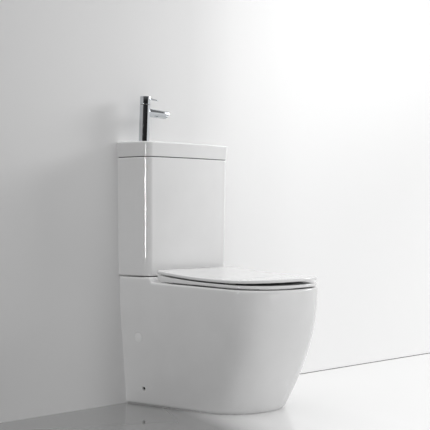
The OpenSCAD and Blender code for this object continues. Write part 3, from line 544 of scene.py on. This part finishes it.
def cisternHalf(half, depthHere, inset, start=0.0):
    w, r, d = half - inset, max(cistern["corner"] - inset, 4), depthHere - inset
    xf = w - r
    vf = d - cistern["bow"] * (xf / w) ** 2
    side = vf - r * 0.93
    points = [(w, start + (side - start) * i / backSteps) for i in range(backSteps)]
    for i in range(cornerSteps + 1):
        a = math.radians(90 * i / cornerSteps)
        points.append((xf + r * math.cos(a), side + r * 0.93 * math.sin(a)))
    for i in range(1, bowSteps):
        x = xf * (1 - i / (bowSteps - 0.5))
        points.append((x, d - cistern["bow"] * (x / w) ** 2))
    return points


def cisternRing(z, inset, start=0.0):
    share = (z - cistern["foot"]) / (cistern["top"] - cistern["foot"])
    half = cisternHalf(cistern["half"] + cistern["flare"] * share, cistern["depth"] + cistern["lean"] * share, inset, start)
    return mirrored(half, lambda v: z)


def makeCistern():
    bm = bmesh.new()
    foot, top, wall = cistern["foot"], cistern["top"], cistern["wall"]
    rings = [cisternRing(foot, 3), cisternRing(foot + 0.3, 1.5), cisternRing(foot + 1.2, 0.4), cisternRing(foot + 3, 0), cisternRing(foot + 6, 0)]
    rings += [cisternRing(foot + 6 + (top - foot - 12) * i / 16, 0) for i in range(1, 17)]
    rings += [cisternRing(top - 2.5, 0), cisternRing(top - 0.9, 0.4), cisternRing(top - 0.2, 1.2), cisternRing(top, 2.5)]
    rings += [cisternRing(top, wall - 1, wall - 1), cisternRing(top - 1, wall, wall), cisternRing(foot + 14, wall, wall)]
    skin(bm, rings, capStart=True, capEnd=True)
    piece = finishPiece(bm, "cisternTank", "toilet", china, ["cistern"])
    # notch for the tap's hoses
    notch = bmesh.new()
    block(notch, (60, 24, 50), Matrix.Translation(at(-118, 0, top - 5)), 1)
    return cutAway(piece, [notch])


basin = {"foot": 768.0, "half": 195.0, "depth": 143.5, "lean": 3.5, "rimBack": 816.3, "rimFall": 2.7, "fallOver": 140.0, "deck": 812.0, "lip": 12.0,
         "bowlX": 42.0, "bowlReach": 68.0}
basinBowl = [(52, 74, 27), (50, 88, 32), (43, 103, 38), (26, 117, 43), (8, 124, 46)]


def rimZ(reach):
    return basin["rimBack"] - basin["rimFall"] * reach / basin["fallOver"]


# Ring of the basin's block at a share of its height
def basinRing(inset, height):
    return mirrored(cisternHalf(basin["half"], basin["depth"], inset, min(max(inset - basin["lean"] - 1, 0), 9)), height)


def handBowlRing(depthBelow, grow, height):
    for a, b in zip(basinBowl, basinBowl[1:]):
        if depthBelow >= b[0] or b is basinBowl[-1]:
            t = (a[0] - depthBelow) / (a[0] - b[0])
            length, width = a[1] + (b[1] - a[1]) * t, a[2] + (b[2] - a[2]) * t
            break
    points = []
    for i in range(72):
        a = math.radians(360 * (i + 0.5) / 72)
        c, s = math.cos(a), math.sin(a)
        points.append(at(
            basin["bowlX"] + (length + grow) * math.copysign(abs(c) ** 0.75, c),
            basin["bowlReach"] - (width + grow) * math.copysign(abs(s) ** 0.75, s), height,
        ))
    return points


def makeBasin():
    bm = bmesh.new()
    foot, deck, lip = basin["foot"], basin["deck"], basin["lip"]
    lean = basin["lean"]

    def share(t):
        return lambda v: foot + (rimZ(v) - foot) * t

    rings = [
        basinRing(20, lambda v: foot + 20), basinRing(20, lambda v: foot),
        basinRing(lean + 3, lambda v: foot), basinRing(lean + 1.2, lambda v: foot + 0.5),
    ]
    rings += [basinRing(lean * (1 - t), share(0.03 + 0.87 * t)) for t in (0, 0.08, 0.25, 0.5, 0.75, 0.92, 1)]
    for i in range(1, 8):
        a = math.radians(90 * i / 7)
        rings.append(basinRing(5 * (1 - math.cos(a)), share(0.9 + 0.1 * math.sin(a))))
    rings.append(basinRing(lip - 3.5, rimZ))
    for i in range(1, 5):
        a = math.radians(90 * i / 4)
        rings.append(basinRing(lip - 3.5 + 1.8 * math.sin(a), lambda v, a=a: rimZ(v) - 1.8 * (1 - math.cos(a)) * 0.9))
    for i in range(1, 5):
        a = math.radians(90 * i / 4)
        rings.append(basinRing(lip - 1.7 + 2 * (1 - math.cos(a)), lambda v, a=a: max(deck, rimZ(v) - 1.6 - (rimZ(v) - 1.6 - deck) * math.sin(a))))
    # flat bands on both sides of the deck keep it evenly lit
    rings.append(basinRing(lip + 1.8, lambda v: deck))
    loops = skin(bm, rings)
    deckLoop = loops[-1]
    bowlRings = [handBowlRing(12, 7.5, deck)]
    for i in range(0, 7):
        a = math.radians(90 * i / 6)
        bowlRings.append(handBowlRing(12, 6 * (1 - math.sin(a)), deck - 6 + 6 * math.cos(a)))
    for d in (14, 20, 26, 32, 38, 43, 46, 48.5, 50, 51, 51.6):
        bowlRings.append(handBowlRing(d, 0, basin["rimBack"] - d))
    # the bowl's floor runs in to the waste hole and down through it
    for r, drop in ((48, 51.8), (30, 52), (21, 52), (20, 53), (20, 60)):
        ring = []
        for i in range(72):
            a = math.radians(5 * (i + 0.5))
            across = min(r, 23 + (r - 20) * 0.1) if r > 21 else r
            ring.append(at(basin["bowlX"] + r * math.cos(a), basin["bowlReach"] - across * math.sin(a), basin["rimBack"] - drop))
        bowlRings.append(ring)
    bowl = skin(bm, bowlRings)
    # the long back edge gets points of its own, so that the deck's faces don't cross the bowl
    edges = ringEdges(deckLoop)
    longest = max(edges, key=lambda e: e.calc_length())
    edges.remove(longest)
    bmesh.ops.bridge_loops(bm, edges=edges + splitEvenly(longest, 30) + ringEdges(bowl[0]))
    return finishPiece(bm, "basinBlock", "toilet", china, ["basin"])


cisternTank = makeCistern()
basinBlock = makeBasin()
print("cistern and basin made")


# Seat
seat = {"inset": 2.5, "ringInset": 3.5, "ringRear": 152.0, "coverRear": 151.0, "corner": 14.0,
        "hole": (105.0, 232.0, 487.0), "axisReach": 157.0, "axisZ": 400.0, "hinge": 77.5, "knuckle": 17.5}
seatSides = [0, 14, 32, 56, 84, 116, 150, 186, 222, 258, 294, 328, 360, 388, 410, 426, 436]


def ringLow(reach):
    return pan["topMid"] - pan["slope"] * (reach - 350) + 4 + 9 * (max(0, 180 - reach) / 28) ** 2


def ringHigh(reach):
    flat = pan["topMid"] - pan["slope"] * (reach - 350) + 13
    return max(flat, coverLow(reach) - 4.3) if reach < 345 else flat


def coverLow(reach):
    return 393.5 - 0.048 * (reach - 350) + 0.0002 * (reach - 350) ** 2


def coverHigh(reach):
    return coverLow(reach) + 9.5


def seatHalf(rear, inset, extra):
    corner = seat["corner"] - extra
    body = outline((184.0, 187.0, 438.0, depth, pan["blunt"]), rear + seat["corner"], inset + extra, seatSides)
    w = body[0][0]
    arc = [(w - corner + corner * math.sin(math.radians(a)), rear + seat["corner"] - corner * math.cos(math.radians(a))) for a in range(0, 90, 9)]
    return arc + body


# Rings round the edge of a slab, from its underside over a rounded edge to its top
def slabRings(rear, inset, low, high, under=2.5, over=3.5, steps=5):
    # a narrow flat band inside each rounded edge keeps the large faces evenly lit
    rings = [mirrored(seatHalf(rear, inset, under + 1.5), low)]
    for i in range(steps + 1):
        a = math.radians(90 * i / steps)
        rings.append(mirrored(seatHalf(rear, inset, under * (1 - math.sin(a))), lambda v, a=a: low(v) + under * (1 - math.cos(a))))
    for i in range(steps + 1):
        a = math.radians(90 * i / steps)
        rings.append(mirrored(seatHalf(rear, inset, over * (1 - math.cos(a))), lambda v, a=a: high(v) - over + over * math.sin(a)))
    rings.append(mirrored(seatHalf(rear, inset, over + 1.5), high))
    return rings


def knuckle(bm, x, width):
    turn = Matrix.Translation(at(x - width / 2, seat["axisReach"], seat["axisZ"])) @ Matrix.Rotation(math.pi / 2, 4, "Y")
    gather(bm, turned([(4.05, 0), (6.3, 0), (7, 0.7), (7, width - 0.7), (6.3, width), (4.05, width), (4.05, 0)], turn, 40))


def makeCover():
    bm = bmesh.new()
    skin(bm, slabRings(seat["coverRear"], seat["inset"], coverLow, coverHigh), capStart=True, capEnd=True)
    for side in (-1, 1):
        x = side * (seat["hinge"] + seat["knuckle"])
        knuckle(bm, x, 14)
        block(bm, (14, 10, 13), Matrix.Translation(at(x, seat["axisReach"], seat["axisZ"] + 9)), 1.0)
    return finishPiece(bm, "seatCover", "cover", urea, ["seat_cover"])


def makeRing():
    bm = bmesh.new()
    loops = skin(bm, slabRings(seat["ringRear"], seat["ringInset"], ringLow, ringHigh, 2.0, 3.0))
    half, rear, front = seat["hole"]
    steps = 60

    def holeRing(grow, height):
        points = []
        for i in range(steps):
            a = math.radians(180 * (i + 0.5) / steps)
            points.append(((half + grow) * math.sin(a), (rear + front) / 2 - ((front - rear) / 2 + grow) * math.cos(a)))
        return mirrored(points, height)

    rings = [holeRing(3.5, ringLow), holeRing(2, ringLow)]
    for i in range(1, 5):
        a = math.radians(90 * i / 4)
        rings.append(holeRing(2 - 2 * math.sin(a), lambda v, a=a: ringLow(v) + 2 * (1 - math.cos(a))))
    for i in range(0, 6):
        a = math.radians(90 * i / 5)
        rings.append(holeRing(4 * (1 - math.cos(a)), lambda v, a=a: ringHigh(v) - 4 + 4 * math.sin(a)))
    rings.append(holeRing(5.5, ringHigh))
    hole = skin(bm, rings)
    for outer, inner in ((loops[0], hole[0]), (loops[-1], hole[-1])):
        edges = ringEdges(outer)
        longest = max(edges, key=lambda e: e.calc_length())
        edges.remove(longest)
        bmesh.ops.bridge_loops(bm, edges=edges + splitEvenly(longest, 22) + ringEdges(inner))
    ring = finishPiece(bm, "seatRing", "seat", urea, ["seat_ring"])
    # the middle of the rear is cut out for the hinges, then the knuckles go on
    room = bmesh.new()
    block(room, (236, 60, 80), Matrix.Translation(at(0, 141, 390)), 1.5)
    cutAway(ring, [room])
    bm = bmesh.new()
    for side in (-1, 1):
        x = side * (seat["hinge"] - seat["knuckle"])
        knuckle(bm, x, 14)
        web = Matrix.Translation(at(x, seat["axisReach"], seat["axisZ"])) @ Matrix.Rotation(math.radians(23.5), 4, "X") @ Matrix.Translation((0, -0.0155, 0))
        block(bm, (14, 19, 6), web, 1.0)
    castOn(ring, bm)
    return ring


seatCover = makeCover()
seatRing = makeRing()
print("seat made")


# Tap
tap = {"x": -121.0, "reach": 45.0, "deck": 812.0, "lean": 2.6, "r": 16.5, "column": 121.0, "cap": 26.5, "seam": 0.8,
       "spoutZ": 99.0, "spoutReach": 106.0, "spoutR": 13.0, "cut": 33.0, "pivot": 137.0}
tapPlace = Matrix.Translation(at(tap["x"], tap["reach"], tap["deck"])) @ Matrix.Rotation(math.radians(tap["lean"]), 4, "Y")


def makeTap():
    base = [(13.1, 0), (21.6, 0), (22, 0.4), (22, 3.4), (21.6, 4.2), (20.8, 4.8), (20, 5), (13.1, 5), (13.1, 0)]
    bm = turned(base, tapPlace)
    finishPiece(bm, "tapBaseRing", "toilet", chrome, ["tap_base_ring"])
    top = tap["column"]
    r = tap["r"]
    column = [(0, 5.05), (r - 0.4, 5.05), (r, 5.5), (r, top - 0.5), (r - 0.5, top), (14, top), (14, top - 5), (0, top - 5)]
    bm = turned(column, tapPlace, 96)
    finishPiece(bm, "tapColumn", "toilet", chrome, ["tap_body"])
    # spout: a round bar cut off on the slant, with a seat for the aerator
    bm = bmesh.new()
    thick, length = tap["spoutR"] / 1000, (tap["spoutReach"] - 8) / 1000
    bmesh.ops.create_cone(bm, cap_ends=True, segments=64, radius1=thick, radius2=thick, depth=length)
    along = mm(0, 0, tap["spoutZ"]) @ Matrix.Rotation(math.pi / 2, 4, "Y") @ mm(0, 0, (tap["spoutReach"] + 8) / 2)
    bmesh.ops.transform(bm, matrix=along, verts=bm.verts)
    cut = math.radians(tap["cut"])
    middle = tap["spoutReach"] - tap["spoutR"] * math.tan(cut)
    normal = Vector((math.cos(cut), 0, -math.sin(cut)))
    whole = bm.verts[:] + bm.edges[:] + bm.faces[:]
    bmesh.ops.bisect_plane(bm, geom=whole, plane_co=(middle / 1000, 0, tap["spoutZ"] / 1000), plane_no=normal, clear_outer=True)
    rim = [e for e in bm.edges if e.is_boundary]
    face = bmesh.ops.contextual_create(bm, geom=rim)["faces"]
    bmesh.ops.inset_region(bm, faces=face, thickness=0.0022, depth=0)
    bmesh.ops.translate(bm, vec=-normal * 0.0015, verts=face[0].verts)
    bmesh.ops.remove_doubles(bm, verts=bm.verts, dist=2e-4)
    edges = [e for e in bm.edges if len(e.link_faces) == 2 and e.calc_face_angle() > 0.9]
    bmesh.ops.bevel(bm, geom=edges, offset=0.0003, segments=2, profile=0.5, affect="EDGES", material=-1, clamp_overlap=True)
    bmesh.ops.transform(bm, matrix=tapPlace, verts=bm.verts)
    finishPiece(bm, "tapSpout", "toilet", chrome, ["tap_spout"], 30)
    # cap: closed top with a slot for the lever
    low, high = top + tap["seam"], top + tap["cap"]
    bm = turned(barProfile(tap["r"], low, high, 1.2), Matrix.Identity(4), 96)
    bmesh.ops.transform(bm, matrix=tapPlace, verts=bm.verts)
    cap = finishPiece(bm, "tapCap", "tap_swivel_part", chrome, ["tap_handle"])
    slotCut = bmesh.new()
    block(slotCut, (40, 13.2, 30), tapPlace @ mm(11, 0, top + 25), 0.5)
    cutAway(cap, [slotCut], 30)
    # lever: flat at the root, drawn down to a rounded tip
    bm = bmesh.new()
    rings = []
    for i in range(0, 15):
        t = i / 14
        x = 6 + (58.5 - 6) * t
        tip = math.sqrt(max(1 - max((t - 0.9) / 0.1, 0) ** 2, 0)) if t > 0.9 else 1
        halfWidth = (6.2 - 1.4 * t) * max(tip, 0.25)
        halfHeight = (3.4 - 1.6 * t) * max(tip, 0.3)
        z = tap["pivot"] + 6.5 - 2.7 * t
        ring = []
        for k in range(28):
            a = math.radians(360 * (k + 0.5) / 28)
            c, s = math.cos(a), math.sin(a)
            ring.append(Vector((x, s * halfWidth, z + c * halfHeight)) / 1000)
        rings.append(ring)
    skin(bm, rings, capStart=True, capEnd=True)
    bmesh.ops.transform(bm, matrix=tapPlace, verts=bm.verts)
    finishPiece(bm, "tapLever", "tap_lever_part", chrome, ["tap_lever"])


makeTap()
print("tap made")

# Small fittings
fitting = {"buttonX": -150.0, "buttonReach": 90.0, "split": -3.0, "wasteX": 42.0, "wasteReach": 68.0, "wasteZ": 764.3,
           "postX": 77.5, "postReach": 157.0, "postZ": 400.0}


def makeSideCaps():
    reach, z = drain["capReach"], drain["capZ"]
    slope = math.atan((panSide(z + 10, reach) - panSide(z - 10, reach)) / 20)
    bm = bmesh.new()
    for side in (-1, 1):
        place = Matrix.Translation(at(side * panSide(z, reach), reach, z)) @ Matrix.Rotation(side * (math.pi / 2 + slope), 4, "Y")
        gather(bm, turned(barProfile(drain["capR"] - 0.5, -2, 0.6, 0.5), place, 64))
    finishPiece(bm, "sideCaps", "toilet", capPlastic, ["side_caps"])


# Two half discs in one chrome collar: a dished collar, domed buttons, a clean gap between them
def makeButtons():
    place = Matrix.Translation(at(fitting["buttonX"], fitting["buttonReach"], basin["deck"]))
    collar = [
        (0, -13.5), (14.4, -13.5), (14.4, 2.2), (14.7, 2.8), (15.4, 3), (19.6, 3),
        (20.6, 2.6), (21, 1.8), (21, 0), (16.5, 0), (16.5, -45.5), (0, -45.5),
    ]
    finishPiece(turned(collar, place, 80), "buttonCollar", "toilet", chrome, ["button_housing"], 30)
    for name, body, node, side in (("fullButton", "full_button", "button_full", 1), ("halfButton", "half_button", "button_half", -1)):
        bm = turned([(0, -7), (14.3, -7), (14.3, 2.8), (13.9, 3.4), (13.2, 3.75), (8, 3.95), (0, 4)], Matrix.Identity(4), 80)
        edge = fitting["split"] + side * 0.4
        whole = bm.verts[:] + bm.edges[:] + bm.faces[:]
        bmesh.ops.bisect_plane(bm, geom=whole, plane_co=(0, edge / 1000, 0), plane_no=(0, -side, 0), clear_outer=True)
        face = bmesh.ops.contextual_create(bm, geom=[e for e in bm.edges if e.is_boundary])["faces"]
        rim = [e for e in face[0].edges if sum(v.co.z for v in e.verts) > 0.005]
        bmesh.ops.bevel(bm, geom=rim, offset=0.0004, segments=2, profile=0.5, affect="EDGES", material=-1)
        gather(bm, turned([(0, -17.8), (3, -17.8), (3, -6.5), (0, -6.5)], mm(0, side * 7, 0), 24))
        bmesh.ops.transform(bm, matrix=place, verts=bm.verts)
        finishPiece(bm, name, body, chrome, [node], 30)


def makeWaste():
    place = Matrix.Translation(at(fitting["wasteX"], fitting["wasteReach"], fitting["wasteZ"]))
    profile = [
        (0, 1), (2, 0.9), (15.5, 0.5), (18, 1), (20, 1.9), (22.6, 2), (23.6, 1.5), (24, 0.6), (24, 0),
        (19.5, 0), (19.5, -33.5), (16.5, -33.5), (16.5, -1.2), (0, -1.2),
    ]
    piece = finishPiece(turned(profile, place, 80), "wasteGrid", "toilet", chrome, ["waste_grid"], 30)
    holes = []
    for i in range(6):
        bm = bmesh.new()
        block(bm, (9, 3.6, 12), place @ Matrix.Rotation(math.radians(60 * i), 4, "Z") @ mm(9.5, 0, 0), 1.2)
        holes.append(bm)
    centre = bmesh.new()
    bmesh.ops.create_cone(centre, cap_ends=True, segments=32, radius1=0.0026, radius2=0.0026, depth=0.012, matrix=place)
    cutAway(piece, holes + [centre], 30)


def makePosts():
    bm = bmesh.new()
    foot = panTop(fitting["postReach"] - 14)
    for side in (-1, 1):
        centre = at(side * fitting["postX"], fitting["postReach"], 0)
        column = [
            (0, foot), (14, foot), (14, foot + 2.2), (13.2, foot + 3), (9.4, foot + 3),
            (8.4, foot + 3.5), (8, foot + 4.5), (8, fitting["postZ"]), (0, fitting["postZ"]),
        ]
        gather(bm, turned(column, Matrix.Translation(centre), 56))
        head = Matrix.Translation(centre) @ mm(0, 0, fitting["postZ"]) @ Matrix.Rotation(math.pi / 2, 4, "Y")
        gather(bm, turned(barProfile(6.5, -9, 9, 0.8), head, 48))
    finishPiece(bm, "hingePosts", "toilet", chrome, ["hinge_posts"], 30)


makeSideCaps()
makeButtons()
makeWaste()
makePosts()
# small CAD pieces in sight lose their razor edges
for name in ("tap_aerator", "floor_brackets", "bracket_screws", "seat_buffers", "cover_buffers"):
    rim = frame["nodes"][name].modifiers.new("rim", "BEVEL")
    rim.width = 0.0003
    rim.segments = 2
    rim.limit_method = "ANGLE"
    rim.angle_limit = math.radians(40)
print("fittings made")

# Stage
# for the wall and the floor: metres along the slant, the grey there, and the painted light it adds in the camera's eye
# and in reflections. Both are painted light and shade. The floor's grey is a painted shadow of the pan on its left, and
# its slant runs along the edge of that shadow. The wall's grey varies along it, and its painted light grows towards the
# right
stage = {"wallReach": -0.5, "wallSlant": (1, 0, 0), "floorSlant": (1, -0.5, 0),
         "wall": ((-1.5, 0.66, 0.0), (-0.66, 0.7, 0.0), (-0.2, 0.76, 0.0), (0.15, 0.7, 0.12),
                  (0.41, 0.66, 0.31), (0.75, 0.66, 0.41), (1.64, 0.66, 0.47)),
         "floor": ((-1.5, 0.21, 0.0), (-0.27, 0.23, 0.0), (-0.2, 0.26, 0.0), (-0.115, 0.54, 0.04),
                   (-0.03, 0.7, 0.06), (0.1, 0.84, 0.06), (0.36, 0.88, 0.08), (1.6, 0.88, 0.08))}


def sheet(name, matrix, size, rough, spec):
    bm = bmesh.new()
    bmesh.ops.create_grid(bm, x_segments=1, y_segments=1, size=1)
    bmesh.ops.scale(bm, vec=(size[0], size[1], 1), verts=bm.verts)
    bmesh.ops.transform(bm, matrix=matrix, verts=bm.verts)
    mesh = bpy.data.meshes.new(name)
    bm.to_mesh(mesh)
    bm.free()
    flat = bpy.data.objects.new(name, mesh)
    scene.collection.objects.link(flat)
    mat, tree = newMaterial(name + "Paint")
    spot = addNode(tree, "ShaderNodeTexCoord")
    slant = addNode(tree, "ShaderNodeVectorMath", {0: spot.outputs["Object"]}, operation="DOT_PRODUCT")
    slant.inputs[1].default_value = stage[name + "Slant"]
    along = addNode(tree, "ShaderNodeMapRange", {"Value": slant.outputs["Value"]}, From_Min=-1.7, From_Max=1.7)
    # both ramps paint light and shade along the slant: the first into the grey, the second as painted light seen only
    # by camera and mirror rays
    levels = stage[name]
    ramps = []
    for column in (1, 2):
        ramp = addNode(tree, "ShaderNodeValToRGB", {"Fac": along.outputs["Result"]})
        while len(ramp.color_ramp.elements) < len(levels):
            ramp.color_ramp.elements.new(0.5)
        for stop, level in zip(ramp.color_ramp.elements, levels):
            stop.position = (level[0] + 1.7) / 3.4
        for stop, level in zip(ramp.color_ramp.elements, levels):
            stop.color = (level[column],) * 3 + (1,)
        ramps.append(ramp)
    path = addNode(tree, "ShaderNodeLightPath")
    seen = addNode(tree, "ShaderNodeMath", {0: path.outputs["Is Camera Ray"], 1: path.outputs["Is Glossy Ray"]}, operation="MAXIMUM")
    # the base colour carries the painted shade, the emission the painted light
    inputs = {"Base Color": ramps[0].outputs["Color"], "Emission Color": ramps[1].outputs["Color"], "Emission Strength": seen.outputs[0]}
    paintedShadeAndLight = addNode(tree, "ShaderNodeBsdfPrincipled", inputs)
    paintedShadeAndLight.inputs["Roughness"].default_value = rough
    paintedShadeAndLight.inputs["Specular IOR Level"].default_value = spec
    clear = addNode(tree, "ShaderNodeBsdfTransparent")
    side = addNode(tree, "ShaderNodeNewGeometry")
    front = addNode(tree, "ShaderNodeMath", {1: side.outputs["Backfacing"]}, operation="SUBTRACT")
    front.inputs[0].default_value = 1
    both = addNode(tree, "ShaderNodeMath", {0: (seen if name == "wall" else front).outputs[0], 1: front.outputs[0]}, operation="MULTIPLY")
    mix = addNode(tree, "ShaderNodeMixShader", {"Fac": both.outputs[0], 1: clear.outputs[0], 2: paintedShadeAndLight.outputs[0]})
    addNode(tree, "ShaderNodeOutputMaterial", {"Surface": mix.outputs[0]})
    mesh.materials.append(mat)
    return flat


wallY = (depth / 2 - stage["wallReach"]) / 1000
sheet("wall", Matrix.Translation((0, wallY, 2)) @ Matrix.Rotation(math.pi / 2, 4, "X"), (9, 2), 0.9, 0.2)
sheet("floor", Matrix.Translation((0, wallY - 4, 0)), (9, 4), 0.05, 0.5)

# the joint along the foot of the wall, a fine dark line to the right of the pan; all in metres
wallLine = {"middle": 4.6, "half": 4.5, "height": 0.0009, "halfHeight": 0.0008, "proud": 0.0006}
bm = bmesh.new()
place = Matrix.Translation((wallLine["middle"], wallY - wallLine["proud"], wallLine["height"]))
place = place @ Matrix.Rotation(math.pi / 2, 4, "X") @ Matrix.Diagonal((wallLine["half"], wallLine["halfHeight"], 1, 1))
bmesh.ops.create_grid(bm, x_segments=1, y_segments=1, size=1, matrix=place)
jointMesh = bpy.data.meshes.new("wallJoint")
bm.to_mesh(jointMesh)
bm.free()
wallJoint = bpy.data.objects.new("wallJoint", jointMesh)
scene.collection.objects.link(wallJoint)
jointMesh.materials.append(rubber)

# soft light: a gridded panel on the right throws the shadow on the wall, a tall strip on the left and a low wide lamp
# behind the camera give the highlights; most of the light is the room's own
panels = {
    "keyPanel": {"place": (2.6, -0.5, 1.76), "aim": (-0.7, 0.28, 1.0), "size": (0.9, 0.9), "power": 3.8, "spread": 36},
    "stripPanel": {"place": (-2.13, -0.306, 0.635), "aim": (-0.185, 0.16, 0.635), "size": (0.2, 0.64), "power": 0.45, "spread": 26},
    "lowPanel": {"place": (0.3, -1.6, 0.16), "aim": (0.0, -0.28, 0.0), "size": (1.0, 0.3), "power": 0.17, "spread": 34},
    "roomLamp": {"place": (-0.94, -2.1, 1.82), "aim": (-0.13, -0.25, 0.39), "size": (0.5, 0.12), "power": 2.3, "spread": 180},
}
for name, panel in panels.items():
    data = bpy.data.lights.new(name, "AREA")
    data.shape = "RECTANGLE"
    data.size, data.size_y = panel["size"]
    data.energy = panel["power"]
    data.spread = math.radians(panel["spread"])
    lamp = bpy.data.objects.new(name, data)
    scene.collection.objects.link(lamp)
    # the strip is a line of light in the glaze and lights no face
    lamp.visible_diffuse = name != "stripPanel"
    lamp.location = panel["place"]
    lamp.rotation_euler = (Vector(panel["aim"]) - Vector(panel["place"])).to_track_quat("-Z", "Y").to_euler()

# the room: light for the faces, and a darker side behind the camera for the chrome to mirror
room = {"base": 0.315, "front": 0.12, "top": 0.8, "dark": 0.02, "bright": 1.0, "ceiling": 0.2, "backdrop": 0.86}
world = bpy.data.worlds.new("studio")
scene.world = world
world.use_nodes = True
sky = world.node_tree
sky.nodes.clear()
way = addNode(sky, "ShaderNodeTexCoord")
height = addNode(sky, "ShaderNodeSeparateXYZ", {"Vector": way.outputs["Generated"]})


def facing(direction, start, end):
    dot = addNode(sky, "ShaderNodeVectorMath", {0: way.outputs["Generated"]}, operation="DOT_PRODUCT")
    dot.inputs[1].default_value = direction
    return addNode(sky, "ShaderNodeMapRange", {"Value": dot.outputs["Value"]}, interpolation_type="SMOOTHSTEP", From_Min=start, From_Max=end)


frontGlow = facing((0.5, -0.866, 0.0), 0.0, 0.9)
topGlow = facing((0.0, 0.0, 1.0), 0.1, 0.9)
soft = addNode(sky, "ShaderNodeMath", {0: frontGlow.outputs[0]}, operation="MULTIPLY_ADD")
soft.inputs[1].default_value = room["front"]
soft.inputs[2].default_value = room["base"]
soft2 = addNode(sky, "ShaderNodeMath", {0: topGlow.outputs[0], 2: soft.outputs[0]}, operation="MULTIPLY_ADD")
soft2.inputs[1].default_value = room["top"]
beside = facing((-0.559, -0.829, 0.0), 0.66, 0.5)
above = facing((0.0, 0.0, 1.0), 0.1, 0.4)
lit = addNode(sky, "ShaderNodeMix", {0: above.outputs[0], 2: beside.outputs[0]})
lit.inputs[3].default_value = room["ceiling"]
mirrorGlow = addNode(sky, "ShaderNodeMapRange", {"Value": lit.outputs[0]}, To_Min=room["dark"], To_Max=room["bright"])
path = addNode(sky, "ShaderNodeLightPath")
shown = addNode(sky, "ShaderNodeMix", {0: path.outputs["Is Glossy Ray"], 2: soft2.outputs[0], 3: mirrorGlow.outputs[0]})
final = addNode(sky, "ShaderNodeMix", {0: path.outputs["Is Camera Ray"], 2: shown.outputs[0]})
final.inputs[3].default_value = room["backdrop"]
roomShader = addNode(sky, "ShaderNodeBackground", {"Strength": final.outputs[0]})
roomShader.inputs["Color"].default_value = (1, 1, 1, 1)
addNode(sky, "ShaderNodeOutputWorld", {"Surface": roomShader.outputs[0]})
print("stage and light made")
